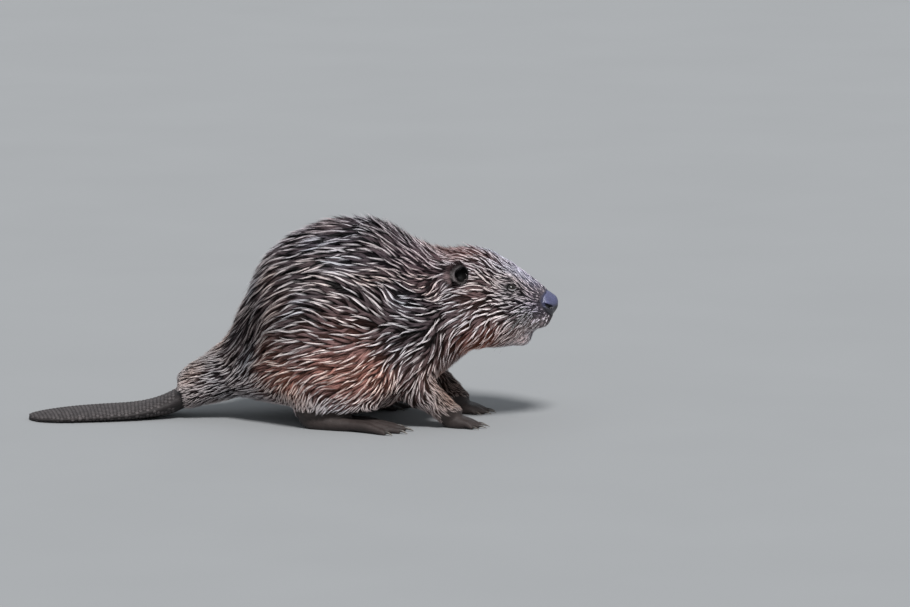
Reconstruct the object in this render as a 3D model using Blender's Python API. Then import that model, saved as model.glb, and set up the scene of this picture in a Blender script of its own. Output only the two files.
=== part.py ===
"""A Eurasian beaver, life size, crouched on its feet with the head held forward.

Metres, +Z up. The animal faces +X and its right side is towards -Y. The floor is Z = 0.
The coat, out to the tips of its guard hairs, is part of each solid. The whole animal is
modelled as one body, which thin cuts then part into head, jaw, neck, trunk, legs and tail.
"""

import math

import bmesh
import bpy
import numpy as np
from mathutils import Matrix, Vector
from mathutils.bvhtree import BVHTree

GAP = 0.0003  # between pieces that touch
FOOT_GAP = 0.0008  # round a foot in its leg, wider because a foot has hollows between its bones
SIDES = {"right": -1, "left": 1}

# The outline of body, neck and head, from the tail's root to the nose. Each section is a hoop
# through a point on the back and a point on the belly, both (x, z), as wide as half_width each
# way. It is widest below its middle, by the share of its half height in the last column.
SECTIONS = [
    # back                belly             half_width, low
    ((-0.250, 0.106), (-0.236, 0.036), 0.050, 0.10),  # root of the tail
    ((-0.237, 0.138), (-0.206, 0.028), 0.076, 0.16),  # rump
    ((-0.217, 0.183), (-0.168, 0.022), 0.101, 0.26),
    ((-0.187, 0.246), (-0.130, 0.020), 0.122, 0.32),  # croup
    ((-0.126, 0.287), (-0.092, 0.020), 0.132, 0.32),  # loin
    ((-0.058, 0.3005), (-0.048, 0.020), 0.131, 0.30),  # top of the hump
    ((-0.005, 0.291), (0.000, 0.026), 0.121, 0.28),  # back
    ((0.034, 0.269), (0.045, 0.044), 0.106, 0.24),  # withers
    ((0.066, 0.2545), (0.084, 0.078), 0.090, 0.18),  # nape
    ((0.100, 0.256), (0.115, 0.102), 0.077, 0.14),  # behind the ears
    ((0.134, 0.2540), (0.145, 0.106), 0.070, 0.12),  # crown
    ((0.168, 0.2375), (0.172, 0.110), 0.059, 0.12),  # brow
    ((0.199, 0.2150), (0.192, 0.123), 0.046, 0.12),  # bridge of the nose
    ((0.222, 0.1975), (0.212, 0.138), 0.038, 0.10),  # muzzle
    ((0.234, 0.185), (0.229, 0.152), 0.027, 0.05),  # behind the nose pad
]
SECTION_SIDES = 40
SECTION_STEPS = 5  # hoops from one section to the next
SQUARENESS = 0.90  # 1 is an ellipse, and less is fuller

# Bulges on both sides of the body: middle (x, y, z) on the left, radii along x, y and z, and
# the pitch of the x axis in degrees, nose down.
BULGES = {
    "thigh": ((-0.088, 0.090, 0.112), (0.100, 0.056, 0.092), 25),
    "knee": ((-0.028, 0.102, 0.078), (0.046, 0.036, 0.044), 20),
    "shoulder": ((0.028, 0.076, 0.142), (0.058, 0.042, 0.078), -15),
    "cheek": ((0.120, 0.040, 0.158), (0.054, 0.036, 0.050), 20),
    "cheekbone": ((0.148, 0.042, 0.190), (0.040, 0.022, 0.026), 20),
    "eyebrow": ((0.171, 0.037, 0.2125), (0.024, 0.014, 0.010), 32),
    "whisker_pad": ((0.212, 0.0200, 0.159), (0.0235, 0.0200, 0.0200), 35),
    "chin": ((0.186, 0.0120, 0.1255), (0.0200, 0.0180, 0.0150), 20),
}

# Tapered limbs on both sides: the two ends and their radii.
LIMBS = {
    "shank": ((-0.030, 0.100, 0.062), 0.034, (-0.110, 0.088, 0.032), 0.027),
    "upper_arm": ((0.034, 0.082, 0.128), 0.036, (0.028, 0.086, 0.072), 0.029),
    "forearm": ((0.030, 0.086, 0.070), 0.029, (0.090, 0.062, 0.0200), 0.0185),
}

# The furry root of the tail, a row of ellipsoids that shrink towards the paddle.
TAIL_START = Vector((-0.222, 0.0, 0.076))
TAIL_END = Vector((-0.316, -0.004, 0.032))
TAIL_START_RADII = (0.048, 0.064, 0.047)
TAIL_END_RADII = (0.030, 0.041, 0.025)
TAIL_BEADS = 5
TAIL_PITCH = -28

# The scaly paddle, flat on the floor.
PADDLE_LENGTH = 0.232
PADDLE_HALF_WIDTH = 0.057
PADDLE_HALF_THICKNESS = 0.0095
PADDLE_ROOT_HALF_THICKNESS = 0.0200
PADDLE_SWING = 0.045  # how far its tip lies to the right
PADDLE_SINK = 0.0012  # how much of its rounded underside the floor flattens
PADDLE_STEPS = 16
PADDLE_SIDES = 14

EAR_PLACE = (0.1030, 0.2220)  # (x, z)
EAR_STANDS_OUT = 0.0010
EAR_RADII = (0.0140, 0.0158)  # along and up
EAR_DEPTH = 0.0100
EAR_WALL = 0.0030
EAR_FACES = (0.46, 0.86, 0.10)  # the way its mouth points, on the left

EYE_PLACE = (0.1780, 0.2020)  # (x, z)
EYE_SINKS = 0.0032  # how far its middle is inside the surface
EYE_RADIUS = 0.0062

NOSE_MIDDLE = (0.2290, 0.0, 0.1755)
NOSE_RADII = (0.0115, 0.0180, 0.0130)
NOSE_PITCH = 28
NOSTRIL = ((0.2320, 0.0130, 0.1745), (0.0050, 0.0050, 0.0030))

MOUTH_FRONT = (0.236, 0.1420)  # the mouth's line, (x, z), from the lip to its corner
MOUTH_CORNER = (0.172, 0.1330)
JAW_BACK = 0.140  # where the lower jaw's piece ends, along x
JAW_HALF_WIDTH = 0.029

# Thin cuts: a point on each, and the way forward across it.
TAIL_CUT = ((-0.232, 0, 0.08), (1.0, 0, 0.52))
PADDLE_CUT = ((-0.304, 0, 0.030), (1.0, 0.05, 0.50))
NECK_CUT = ((0.044, 0, 0.170), (1.0, 0, 0.16))
HEAD_CUT = ((0.086, 0, 0.180), (1.0, 0, 0.20))
LEG_CUT = ((0.000, 0, 0.100), (1.0, 0, -0.10))  # between the knee and the elbow
# What is leg on each side is all inside the tight skin round these balls, each its middle on the
# left and its radius.
HIND_LEG = [
    ((-0.092, 0.122, 0.128), 0.082),
    ((-0.018, 0.118, 0.078), 0.046),
    ((-0.122, 0.094, 0.040), 0.034),
]
FORE_LEG = [
    ((0.026, 0.118, 0.158), 0.062),
    ((0.024, 0.104, 0.070), 0.046),
    ((0.096, 0.060, 0.026), 0.026),
]

# Feet, drawn along +x from the heel, then set down at a place and turned outwards.
HIND_FOOT = {
    "heel": (-0.122, 0.086),
    "turn": 7,
    "heel_radii": (0.0200, 0.0160, 0.0170),
    "ball": 0.068,
    "sole_radii": (0.0125, 0.0100),
    "sink": 0.0014,
    "toe_root": 0.0086,
    "toe_roots": (-0.0170, -0.0090, 0.0, 0.0090, 0.0165),
    "toe_lengths": (0.052, 0.068, 0.082, 0.080, 0.066),
    "toe_turns": (-19, -9, 0, 10, 21),
    "toe_radius": 0.0068,
    "tip_radius": 0.0048,
    "web_radius": 0.0019,
    "web_reach": 0.86,
    "voxel": 0.0019,
    "faces": 270,
    "claw": 0.0150,
    "claw_radius": 0.0034,
}
FORE_FOOT = {
    "heel": (0.080, 0.063),
    "turn": -3,
    "heel_radii": (0.0160, 0.0145, 0.0140),
    "ball": 0.024,
    "sole_radii": (0.0104, 0.0088),
    "sink": 0.0012,
    "toe_root": 0.0076,
    "toe_roots": (-0.0120, -0.0065, 0.0, 0.0065, 0.0120),
    "toe_lengths": (0.0160, 0.0260, 0.0300, 0.0270, 0.0200),
    "toe_turns": (-30, -13, 0, 13, 30),
    "toe_radius": 0.0050,
    "tip_radius": 0.0040,
    "web_radius": 0.0016,
    "web_reach": 0.30,
    "voxel": 0.0017,
    "faces": 190,
    "claw": 0.0140,
    "claw_radius": 0.0024,
}

BODY_VOXEL = 0.0040
BODY_SMOOTHING = 9
BODY_FACES = 2100
HUGE = 1.2  # side of a block that cuts everything on one side of a plane

COLOURS = {
    "coat": ((0.105, 0.070, 0.052), 0.55),
    "throat_coat": ((0.180, 0.110, 0.075), 0.55),
    "nose_skin": ((0.050, 0.050, 0.062), 0.38),
    "foot_skin": ((0.060, 0.052, 0.048), 0.50),
    "tail_scales": ((0.070, 0.062, 0.058), 0.48),
    "ear_skin": ((0.060, 0.045, 0.038), 0.60),
    "eye": ((0.010, 0.008, 0.007), 0.08),
    "claw": ((0.120, 0.095, 0.075), 0.35),
}


def clear_scene():
    for obj in list(bpy.data.objects):
        bpy.data.objects.remove(obj)


def make_materials():
    for name, (colour, roughness) in COLOURS.items():
        material = bpy.data.materials.new(name)
        material.use_nodes = True
        shader = material.node_tree.nodes["Principled BSDF"]
        shader.inputs["Base Color"].default_value = (*colour, 1)
        shader.inputs["Roughness"].default_value = roughness
        shader.inputs["Metallic"].default_value = 0


def place(name, mesh, material=None):
    """A named object at the origin. One with no material is a cutter and isn't part of the animal."""
    obj = bpy.data.objects.new(name, mesh)
    bpy.context.scene.collection.objects.link(obj)
    if material:
        mesh.materials.clear()
        mesh.materials.append(material)
    else:
        obj.hide_render = True
        obj.display_type = "WIRE"
    return obj


def to_mesh(name, bm):
    bmesh.ops.recalc_face_normals(bm, faces=bm.faces)
    mesh = bpy.data.meshes.new(name)
    bm.to_mesh(mesh)
    bm.free()
    return mesh


def mirrored(point, side):
    return Vector((point[0], side * point[1], point[2]))


def through(rows, steps):
    """Rows of numbers joined by a smooth curve through every row."""
    rows = np.array(rows, float)
    ends = np.vstack([2 * rows[0] - rows[1], rows, 2 * rows[-1] - rows[-2]])
    made = []
    for i in range(1, len(ends) - 2):
        a, b, c, d = ends[i - 1 : i + 3]
        for t in np.arange(steps) / steps:
            made.append(
                0.5 * (2 * b + (c - a) * t + (2 * a - 5 * b + 4 * c - d) * t**2
                       + (3 * b - a - 3 * c + d) * t**3)
            )
    return np.array([*made, rows[-1]])


def bridged(bm, rings):
    """Skin over rings of points, with the first and last ring closed."""
    loops = [[bm.verts.new(point) for point in ring] for ring in rings]
    for near, far in zip(loops, loops[1:]):
        for i in range(len(near)):
            j = (i + 1) % len(near)
            bm.faces.new((near[i], near[j], far[j], far[i]))
    bm.faces.new(loops[0][::-1])
    bm.faces.new(loops[-1])


def power(value, exponent):
    return math.copysign(abs(value) ** exponent, value)


def add_outline(bm):
    """The smooth tube through SECTIONS."""
    rows = [(*back, *belly, half, low) for back, belly, half, low in SECTIONS]
    rings = []
    for back_x, back_z, belly_x, belly_z, half, low in through(rows, SECTION_STEPS):
        back = Vector((back_x, 0, back_z))
        belly = Vector((belly_x, 0, belly_z))
        middle = (back + belly) / 2
        up = (back - belly) / 2
        ring = []
        for i in range(SECTION_SIDES):
            angle = 2 * math.pi * i / SECTION_SIDES
            across = power(math.cos(angle), SQUARENESS)
            height = power(math.sin(angle), SQUARENESS)
            height -= low * (1 - height * height)
            ring.append(middle + up * height + Vector((0, half * across, 0)))
        rings.append(ring)
    bridged(bm, rings)


def add_ellipsoid(bm, middle, radii, pitch=0.0, rings=16):
    """An ellipsoid whose x axis is pitched nose down by so many degrees."""
    matrix = (
        Matrix.Translation(middle)
        @ Matrix.Rotation(math.radians(pitch), 4, "Y")
        @ Matrix.Diagonal((*radii, 1))
    )
    bmesh.ops.create_uvsphere(bm, u_segments=rings + 8, v_segments=rings, radius=1, matrix=matrix)


def add_hull(bm, balls, subdivisions=2):
    """The tight skin round some balls, each (middle, radius)."""
    hull = bmesh.new()
    for middle, radius in balls:
        bmesh.ops.create_icosphere(
            hull, subdivisions=subdivisions, radius=radius, matrix=Matrix.Translation(middle)
        )
    bmesh.ops.delete(hull, geom=hull.edges[:], context="EDGES_FACES")
    made = bmesh.ops.convex_hull(hull, input=hull.verts[:])
    inside = [v for v in made["geom_interior"] if isinstance(v, bmesh.types.BMVert)]
    bmesh.ops.delete(hull, geom=inside, context="VERTS")
    mesh = bpy.data.meshes.new("hull")
    hull.to_mesh(mesh)
    hull.free()
    bm.from_mesh(mesh)
    bpy.data.meshes.remove(mesh)


def evaluated_mesh(obj, name):
    graph = bpy.context.evaluated_depsgraph_get()
    graph.update()
    mesh = bpy.data.meshes.new_from_object(obj.evaluated_get(graph))
    mesh.name = name
    return mesh


def blended(name, bm, voxel, smoothing, faces):
    """Overlapping closed shapes made one, with the creases smoothed, and then coarser."""
    obj = place(name + "_rough", to_mesh(name + "_rough", bm))
    remesh = obj.modifiers.new("join", "REMESH")
    remesh.mode = "VOXEL"
    remesh.voxel_size = voxel
    smooth = obj.modifiers.new("smooth", "SMOOTH")
    smooth.factor = 0.5
    smooth.iterations = smoothing
    joined = evaluated_mesh(obj, name)
    coarse = obj.modifiers.new("coarse", "DECIMATE")
    coarse.ratio = min(1.0, faces / (2 * len(joined.polygons)))
    mesh = evaluated_mesh(obj, name)
    bpy.data.objects.remove(obj)
    return mesh


def grown(mesh, by=GAP):
    """A copy of a closed mesh, larger by a gap all round."""
    copy = mesh.copy()
    normals = [v.normal.copy() for v in copy.vertices]
    for vertex, normal in zip(copy.vertices, normals):
        vertex.co += normal * by
    return copy


def half_space(name, cut, ahead, gap=0.0):
    """A block that holds all that is ahead of a cut, or behind it, and stands back from it by a gap."""
    point, forward = Vector(cut[0]), Vector(cut[1]).normalized()
    outward = forward if ahead else -forward
    bm = bmesh.new()
    bmesh.ops.create_cube(bm, size=HUGE)
    turn = outward.to_track_quat("Z", "Y").to_matrix().to_4x4()
    bm.transform(Matrix.Translation(point + outward * (gap + HUGE / 2)) @ turn)
    return place(name, to_mesh(name, bm))


def region(name, balls, side, ahead, extra=0.0):
    """The tight skin round a leg, trimmed at the cut between the legs and larger by extra all round."""
    bm = bmesh.new()
    add_hull(bm, [(mirrored(middle, side), radius + extra) for middle, radius in balls])
    forward = Vector(LEG_CUT[1]).normalized()
    inward = forward if ahead else -forward
    made = bmesh.ops.bisect_plane(
        bm,
        geom=bm.verts[:] + bm.edges[:] + bm.faces[:],
        plane_co=Vector(LEG_CUT[0]) + inward * (GAP / 2 - extra),
        plane_no=-inward,
        clear_outer=True,
    )
    rim = [edge for edge in made["geom_cut"] if isinstance(edge, bmesh.types.BMEdge)]
    if rim:
        bmesh.ops.contextual_create(bm, geom=rim)
    return place(name, to_mesh(name, bm))


def carve(obj, cutter, operation="DIFFERENCE"):
    boolean = obj.modifiers.new(operation.lower(), "BOOLEAN")
    boolean.operation = operation
    boolean.object = cutter
    boolean.solver = "EXACT"


def settle(obj):
    """Applies the cuts and shades the result."""
    mesh = evaluated_mesh(obj, obj.name)
    material = obj.data.materials[0]
    obj.modifiers.clear()
    obj.data = mesh
    mesh.materials.clear()
    mesh.materials.append(material)
    mesh.shade_smooth()
    mesh.set_sharp_from_angle(angle=math.radians(50))
    return obj


def surface_of(mesh):
    return BVHTree.FromPolygons([v.co for v in mesh.vertices], [list(p.vertices) for p in mesh.polygons])


def on_surface(tree, place_xz, side, outward):
    """The point of the body's side at a given x and z, moved outwards by so much."""
    x, z = place_xz
    hit, normal, _, _ = tree.ray_cast(Vector((x, side, z)), Vector((0, -side, 0)))
    return hit + normal * outward


def make_body():
    bm = bmesh.new()
    add_outline(bm)
    for side in SIDES.values():
        for middle, radii, pitch in BULGES.values():
            add_ellipsoid(bm, mirrored(middle, side), radii, pitch)
        for start, start_radius, end, end_radius in LIMBS.values():
            add_hull(bm, [(mirrored(start, side), start_radius), (mirrored(end, side), end_radius)])
    for i in range(TAIL_BEADS):
        share = i / (TAIL_BEADS - 1)
        radii = [a + (b - a) * share for a, b in zip(TAIL_START_RADII, TAIL_END_RADII)]
        add_ellipsoid(bm, TAIL_START.lerp(TAIL_END, share), radii, TAIL_PITCH)
    return blended("body", bm, BODY_VOXEL, BODY_SMOOTHING, BODY_FACES)


def paddle_width(share):
    """The paddle's half width along its length, from its root to its round end."""
    swell = 0.62 + 0.38 * math.sin(math.pi / 2 * min(1, share / 0.55)) ** 1.2
    end = math.sqrt(max(0.0, 1 - max(0.0, (share - 0.62) / 0.38) ** 2.4))
    return PADDLE_HALF_WIDTH * swell * end


def make_paddle():
    start = TAIL_END + Vector((0.020, 0, 0.007))
    rings = []
    for i in range(PADDLE_STEPS + 1):
        share = 0.995 * i / PADDLE_STEPS
        thick = PADDLE_ROOT_HALF_THICKNESS
        thick += (PADDLE_HALF_THICKNESS - thick) * math.sin(math.pi / 2 * min(1, share / 0.45))
        thick *= 1 - 0.52 * share**2
        lie = math.exp(-share / 0.11)  # how far the root still hangs from the rump
        height = thick - PADDLE_SINK + (start.z - PADDLE_ROOT_HALF_THICKNESS) * lie
        middle = Vector((start.x - PADDLE_LENGTH * share, start.y - PADDLE_SWING * share**1.8, height))
        half = max(0.004, paddle_width(share))
        ring = []
        for j in range(PADDLE_SIDES):
            angle = 2 * math.pi * j / PADDLE_SIDES
            edge = power(math.sin(angle), 1.15)
            ring.append(middle + Vector((0, half * math.cos(angle), thick * edge)))
        rings.append(ring)
    bm = bmesh.new()
    bridged(bm, rings)
    return to_mesh("paddle", bm)


def toe_points(foot, number):
    """Root, knuckle and tip of a toe, drawn along +x from the heel."""
    turn = math.radians(foot["toe_turns"][number])
    length = foot["toe_lengths"][number]
    root = Vector((foot["ball"], foot["toe_roots"][number], foot["toe_root"]))
    along = Vector((math.cos(turn), math.sin(turn), 0))
    knuckle = root + along * (length * 0.45) + Vector((0, 0, 0.0015))
    tip = root + along * length
    tip.z = foot["tip_radius"] - foot["sink"]
    return root, knuckle, tip, along


def foot_matrix(foot, side):
    """From the drawing of a foot to its place. The drawing is the left foot, whose outer side is +y."""
    x, y = foot["heel"]
    return (
        Matrix.Translation((x, side * y, 0))
        @ Matrix.Rotation(math.radians(side * foot["turn"]), 4, "Z")
        @ Matrix.Diagonal((1, side, 1, 1))
    )


def make_foot(name, foot):
    """The left foot as drawn, with soles that go a little below the floor."""
    bm = bmesh.new()
    heel_r, ball_r = foot["sole_radii"]
    long, wide, high = foot["heel_radii"]
    add_ellipsoid(bm, (long * 0.6, 0, high - foot["sink"]), (long, wide, high))
    tips = []
    for number in range(len(foot["toe_lengths"])):
        root, knuckle, tip, along = toe_points(foot, number)
        heel = Vector((long * 0.6, root.y * 0.35, heel_r - foot["sink"]))
        add_hull(bm, [(heel, heel_r), (root, ball_r)])
        add_hull(bm, [(root, foot["toe_radius"] * 1.1), (knuckle, foot["toe_radius"])])
        add_hull(bm, [(knuckle, foot["toe_radius"]), (tip, foot["tip_radius"])])
        tips.append((root, tip, along))
    web = foot["web_radius"]
    reach = foot["web_reach"]
    for (root_a, tip_a, _), (root_b, tip_b, _) in zip(tips, tips[1:]):
        level = Vector((0, 0, web + 0.0010))
        corners = [root_a, root_b, root_a.lerp(tip_a, reach), root_b.lerp(tip_b, reach)]
        add_hull(bm, [(Vector((c.x, c.y, 0)) + level, web) for c in corners], subdivisions=1)
    return blended(name, bm, foot["voxel"], 2, foot["faces"])


def make_claw(foot, number):
    """A curved cone that grows from a toe's tip and points down to the floor."""
    _, _, tip, along = toe_points(foot, number)
    length, thick = foot["claw"], foot["claw_radius"]
    start = tip - along * (foot["tip_radius"] * 0.3) + Vector((0, 0, 0.0012))
    across = Vector((-along.y, along.x, 0))
    rings = []
    for i in range(4):
        share = i / 3
        middle = start + along * (length * share)
        middle.z += 0.0010 * math.sin(math.pi * share) - (start.z - 0.0009) * share**1.6
        radius = thick * (1 - 0.86 * share**1.3)
        rings.append([
            middle + across * (0.8 * radius * math.cos(a)) + Vector((0, 0, radius * math.sin(a)))
            for a in np.arange(5) * 2 * math.pi / 5
        ])
    bm = bmesh.new()
    bridged(bm, rings)
    return to_mesh("claw", bm)


def transformed(mesh, matrix):
    copy = mesh.copy()
    copy.transform(matrix)
    if matrix.is_negative:
        copy.flip_normals()
    return copy


def ear_turn(middle, side):
    """Turns the ear's own axes, in which its mouth faces +Z and its top is +Y, to the head's."""
    mouth = mirrored(EAR_FACES, side).normalized()
    top = (Vector((-0.25, 0, 1)) - mouth * mouth.dot(Vector((-0.25, 0, 1)))).normalized()
    across = top.cross(mouth)
    turn = Matrix((across, top, mouth)).transposed().to_4x4()
    return Matrix.Translation(middle) @ turn


def make_ear(middle, side):
    """A shallow cup, and the closed shape round it that its place in the head is cut with."""
    outer = [(0.00, -1.00), (0.45, -0.88), (0.80, -0.52), (0.97, -0.10), (1.00, 0.16)]
    rim = [(0.93, 0.27)]
    inner = [(0.78, 0.00), (0.58, -0.32), (0.32, -0.55), (0.00, -0.64)]
    segments = 12
    along, up = EAR_RADII

    def spun(profile):
        bm = bmesh.new()
        rings = []
        for radius, height in profile[1:-1]:
            rings.append([
                bm.verts.new((along * radius * math.cos(a), up * radius * math.sin(a), EAR_DEPTH * height))
                for a in np.arange(segments) * 2 * math.pi / segments
            ])
        first = bm.verts.new((0, 0, EAR_DEPTH * profile[0][1]))
        last = bm.verts.new((0, 0, EAR_DEPTH * profile[-1][1]))
        for i in range(segments):
            j = (i + 1) % segments
            bm.faces.new((first, rings[0][j], rings[0][i]))
            bm.faces.new((last, rings[-1][i], rings[-1][j]))
            for near, far in zip(rings, rings[1:]):
                bm.faces.new((near[i], near[j], far[j], far[i]))
        bm.transform(ear_turn(middle, side))
        return to_mesh("ear", bm)

    return spun(outer + rim + inner), spun(outer + rim + [(0.0, 0.35)])


def ellipsoid_mesh(name, middle, radii, pitch, rings):
    bm = bmesh.new()
    add_ellipsoid(bm, middle, radii, pitch, rings)
    return to_mesh(name, bm)


def make_nose():
    return ellipsoid_mesh("nose", NOSE_MIDDLE, NOSE_RADII, NOSE_PITCH, 7)


def mouth_cutter(name, gap):
    """All that is below the mouth's line, ahead of the back of the jaw."""
    front_x, front_z = MOUTH_FRONT
    corner_x, corner_z = MOUTH_CORNER
    half = JAW_HALF_WIDTH + gap
    outline = [
        (front_x + 0.03, front_z + 0.004 + gap),
        (front_x, front_z + gap),
        ((front_x + corner_x) / 2, (front_z + corner_z) / 2 - 0.0035 + gap),
        (corner_x, corner_z + gap),
        (JAW_BACK - gap, corner_z - 0.010 + gap),
        (JAW_BACK - gap, 0.0),
        (front_x + 0.03, 0.0),
    ]
    bm = bmesh.new()
    bridged(bm, [[Vector((x, y, z)) for x, z in outline] for y in (-half, half)])
    return place(name, to_mesh(name, bm))


def add_part(name, mesh, material):
    """A piece of the animal, still to be cut."""
    return place(name, mesh.copy(), bpy.data.materials[material])


def make_feet(floor):
    """The feet and claws. Gives the sockets that the legs and trunk are cut with."""
    sockets = {}
    for kind, foot in (("hind", HIND_FOOT), ("fore", FORE_FOOT)):
        drawn = make_foot(kind + "_foot", foot)
        for side_name, side in SIDES.items():
            matrix = foot_matrix(foot, side)
            mesh = transformed(drawn, matrix)
            foot_part = add_part(f"{kind}_foot_{side_name}", mesh, "foot_skin")
            carve(foot_part, floor, "INTERSECT")
            sockets[kind, side_name] = place(f"{kind}_{side_name}_socket", grown(mesh, FOOT_GAP))
            for number in range(len(foot["toe_lengths"])):
                claw_name = f"{kind}_claw_{side_name}_{number + 1}"
                claw = transformed(make_claw(foot, number), matrix)
                add_part(claw_name, claw, "claw")
                carve(foot_part, place(claw_name + "_socket", grown(claw)))
    return sockets


def make_legs(body, sockets):
    """The legs. Gives the closed shapes round them that the trunk and neck are cut with."""
    around = {}
    for side_name, side in SIDES.items():
        for kind, balls in (("hind", HIND_LEG), ("fore", FORE_LEG)):
            name = f"{kind}_leg_{side_name}"
            ahead = kind == "fore"
            leg = add_part(name, body, "coat")
            carve(leg, region(name + "_region", balls, side, ahead), "INTERSECT")
            carve(leg, sockets[kind, side_name])
            if ahead:
                carve(leg, half_space(name + "_back", HEAD_CUT, False, GAP / 2), "INTERSECT")
            around[kind, side_name] = region(name + "_around", balls, side, ahead, GAP)
    return around


def make_trunk_and_neck(body, sockets, around):
    trunk = add_part("trunk", body, "coat")
    carve(trunk, half_space("ahead_of_tail", TAIL_CUT, True, GAP / 2), "INTERSECT")
    carve(trunk, half_space("behind_neck", NECK_CUT, False, GAP / 2), "INTERSECT")
    neck = add_part("neck", body, "coat")
    carve(neck, half_space("ahead_of_trunk", NECK_CUT, True, GAP / 2), "INTERSECT")
    carve(neck, half_space("behind_head", HEAD_CUT, False, GAP / 2), "INTERSECT")
    for side_name in SIDES:
        carve(trunk, around["hind", side_name])
        carve(trunk, around["fore", side_name])
        carve(trunk, sockets["hind", side_name])
        carve(neck, around["fore", side_name])


def make_tail(body, floor):
    root = add_part("tail_root", body, "coat")
    carve(root, half_space("behind_trunk", TAIL_CUT, False, GAP / 2), "INTERSECT")
    carve(root, half_space("ahead_of_paddle", PADDLE_CUT, True, GAP / 2), "INTERSECT")
    carve(root, floor, "INTERSECT")
    paddle = add_part("tail", make_paddle(), "tail_scales")
    carve(paddle, half_space("behind_root", PADDLE_CUT, False, GAP / 2), "INTERSECT")
    carve(paddle, floor, "INTERSECT")


def make_head(body):
    tree = surface_of(body)
    head = add_part("head", body, "coat")
    carve(head, half_space("ahead_of_neck", HEAD_CUT, True, GAP / 2), "INTERSECT")
    carve(head, mouth_cutter("mouth_above", GAP))
    jaw = add_part("lower_jaw", body, "throat_coat")
    carve(jaw, mouth_cutter("mouth_below", 0.0), "INTERSECT")
    carve(jaw, half_space("jaw_front", HEAD_CUT, True, GAP), "INTERSECT")
    nose = add_part("nose", make_nose(), "nose_skin")
    carve(head, place("nose_socket", grown(nose.data)))
    for side_name, side in SIDES.items():
        nostril = ellipsoid_mesh("nostril", mirrored(NOSTRIL[0], side), NOSTRIL[1], NOSE_PITCH, 6)
        carve(nose, place("nostril_" + side_name, nostril))
        middle = on_surface(tree, EYE_PLACE, side, -EYE_SINKS)
        eye = add_part("eye_" + side_name, ellipsoid_mesh("eye", middle, [EYE_RADIUS] * 3, 0, 6), "eye")
        carve(head, place("eye_socket_" + side_name, grown(eye.data)))
        cup, full = make_ear(on_surface(tree, EAR_PLACE, side, EAR_STANDS_OUT), side)
        add_part("ear_" + side_name, cup, "ear_skin")
        carve(head, place("ear_socket_" + side_name, grown(full)))


def centre(parts):
    """Moves the whole so that the origin is on the floor, under the middle of its box."""
    corners = np.array([v.co for obj in parts for v in obj.data.vertices])
    low, high = corners.min(axis=0), corners.max(axis=0)
    shift = Matrix.Translation((-(low[0] + high[0]) / 2, -(low[1] + high[1]) / 2, -low[2]))
    for obj in parts:
        obj.data.transform(shift)


def main():
    clear_scene()
    make_materials()
    body = make_body()
    floor = half_space("floor_block", ((0, 0, 0), (0, 0, 1)), True)
    sockets = make_feet(floor)
    around = make_legs(body, sockets)
    make_trunk_and_neck(body, sockets, around)
    make_tail(body, floor)
    make_head(body)
    parts = [settle(obj) for obj in bpy.data.objects if not obj.hide_render]
    for obj in list(bpy.data.objects):
        if obj not in parts:
            bpy.data.objects.remove(obj)
    centre(parts)


main()
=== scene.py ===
import math

import bmesh
import bpy
import numpy as np
from mathutils import Matrix, Vector
from mathutils.bvhtree import BVHTree
from mathutils.kdtree import KDTree


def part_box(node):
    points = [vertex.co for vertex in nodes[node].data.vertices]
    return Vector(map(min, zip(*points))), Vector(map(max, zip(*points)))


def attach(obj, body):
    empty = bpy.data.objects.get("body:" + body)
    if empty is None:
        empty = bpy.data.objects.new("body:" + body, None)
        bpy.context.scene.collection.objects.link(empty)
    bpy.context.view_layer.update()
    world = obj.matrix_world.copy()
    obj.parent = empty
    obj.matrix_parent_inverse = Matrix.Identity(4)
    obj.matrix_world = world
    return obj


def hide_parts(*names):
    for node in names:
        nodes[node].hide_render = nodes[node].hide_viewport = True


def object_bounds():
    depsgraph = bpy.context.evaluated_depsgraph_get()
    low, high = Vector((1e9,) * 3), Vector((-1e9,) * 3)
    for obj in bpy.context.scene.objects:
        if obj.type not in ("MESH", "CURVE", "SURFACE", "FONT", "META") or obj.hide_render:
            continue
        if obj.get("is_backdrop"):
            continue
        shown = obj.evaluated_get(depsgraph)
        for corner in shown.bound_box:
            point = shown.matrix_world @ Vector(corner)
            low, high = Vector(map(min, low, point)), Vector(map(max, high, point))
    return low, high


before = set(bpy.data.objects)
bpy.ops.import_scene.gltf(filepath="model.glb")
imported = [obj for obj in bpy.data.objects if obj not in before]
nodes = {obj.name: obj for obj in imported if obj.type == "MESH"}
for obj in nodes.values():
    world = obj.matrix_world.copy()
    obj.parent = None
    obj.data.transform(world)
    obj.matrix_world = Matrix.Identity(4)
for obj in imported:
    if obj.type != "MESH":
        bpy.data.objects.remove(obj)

# A wet beaver crouched on its feet: one skin over the frame's flesh, a coat of locks, scales on
# the tail, and eyes, nose, claws and whiskers of their own. Metres, +Z up, nose towards +X.

cadLow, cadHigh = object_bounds()
rng = np.random.default_rng(11)
mm = 0.001
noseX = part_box("nose")[1].x
sides = {"left": 1, "right": -1}
scene = bpy.context.scene


def middleOf(node):
    low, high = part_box(node)
    return np.array((low + high) / 2)


def spot(behind, out, up, side=1):  # by its distance behind the nose tip, to the side, above the floor
    return np.array((noseX - behind, side * out, up))


def unit(rows):
    return rows / np.maximum(np.linalg.norm(rows, axis=-1, keepdims=True), 1e-9)


def dot(a, b):
    return (a * b).sum(axis=-1, keepdims=True)


def ease(value, low, high):  # 0 below low, 1 above high, smooth between
    share = np.clip((value - low) / (high - low), 0, 1)
    return share * share * (3 - 2 * share)


def mixed(first, second, share):
    return first * (1 - share) + second * share


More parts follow.
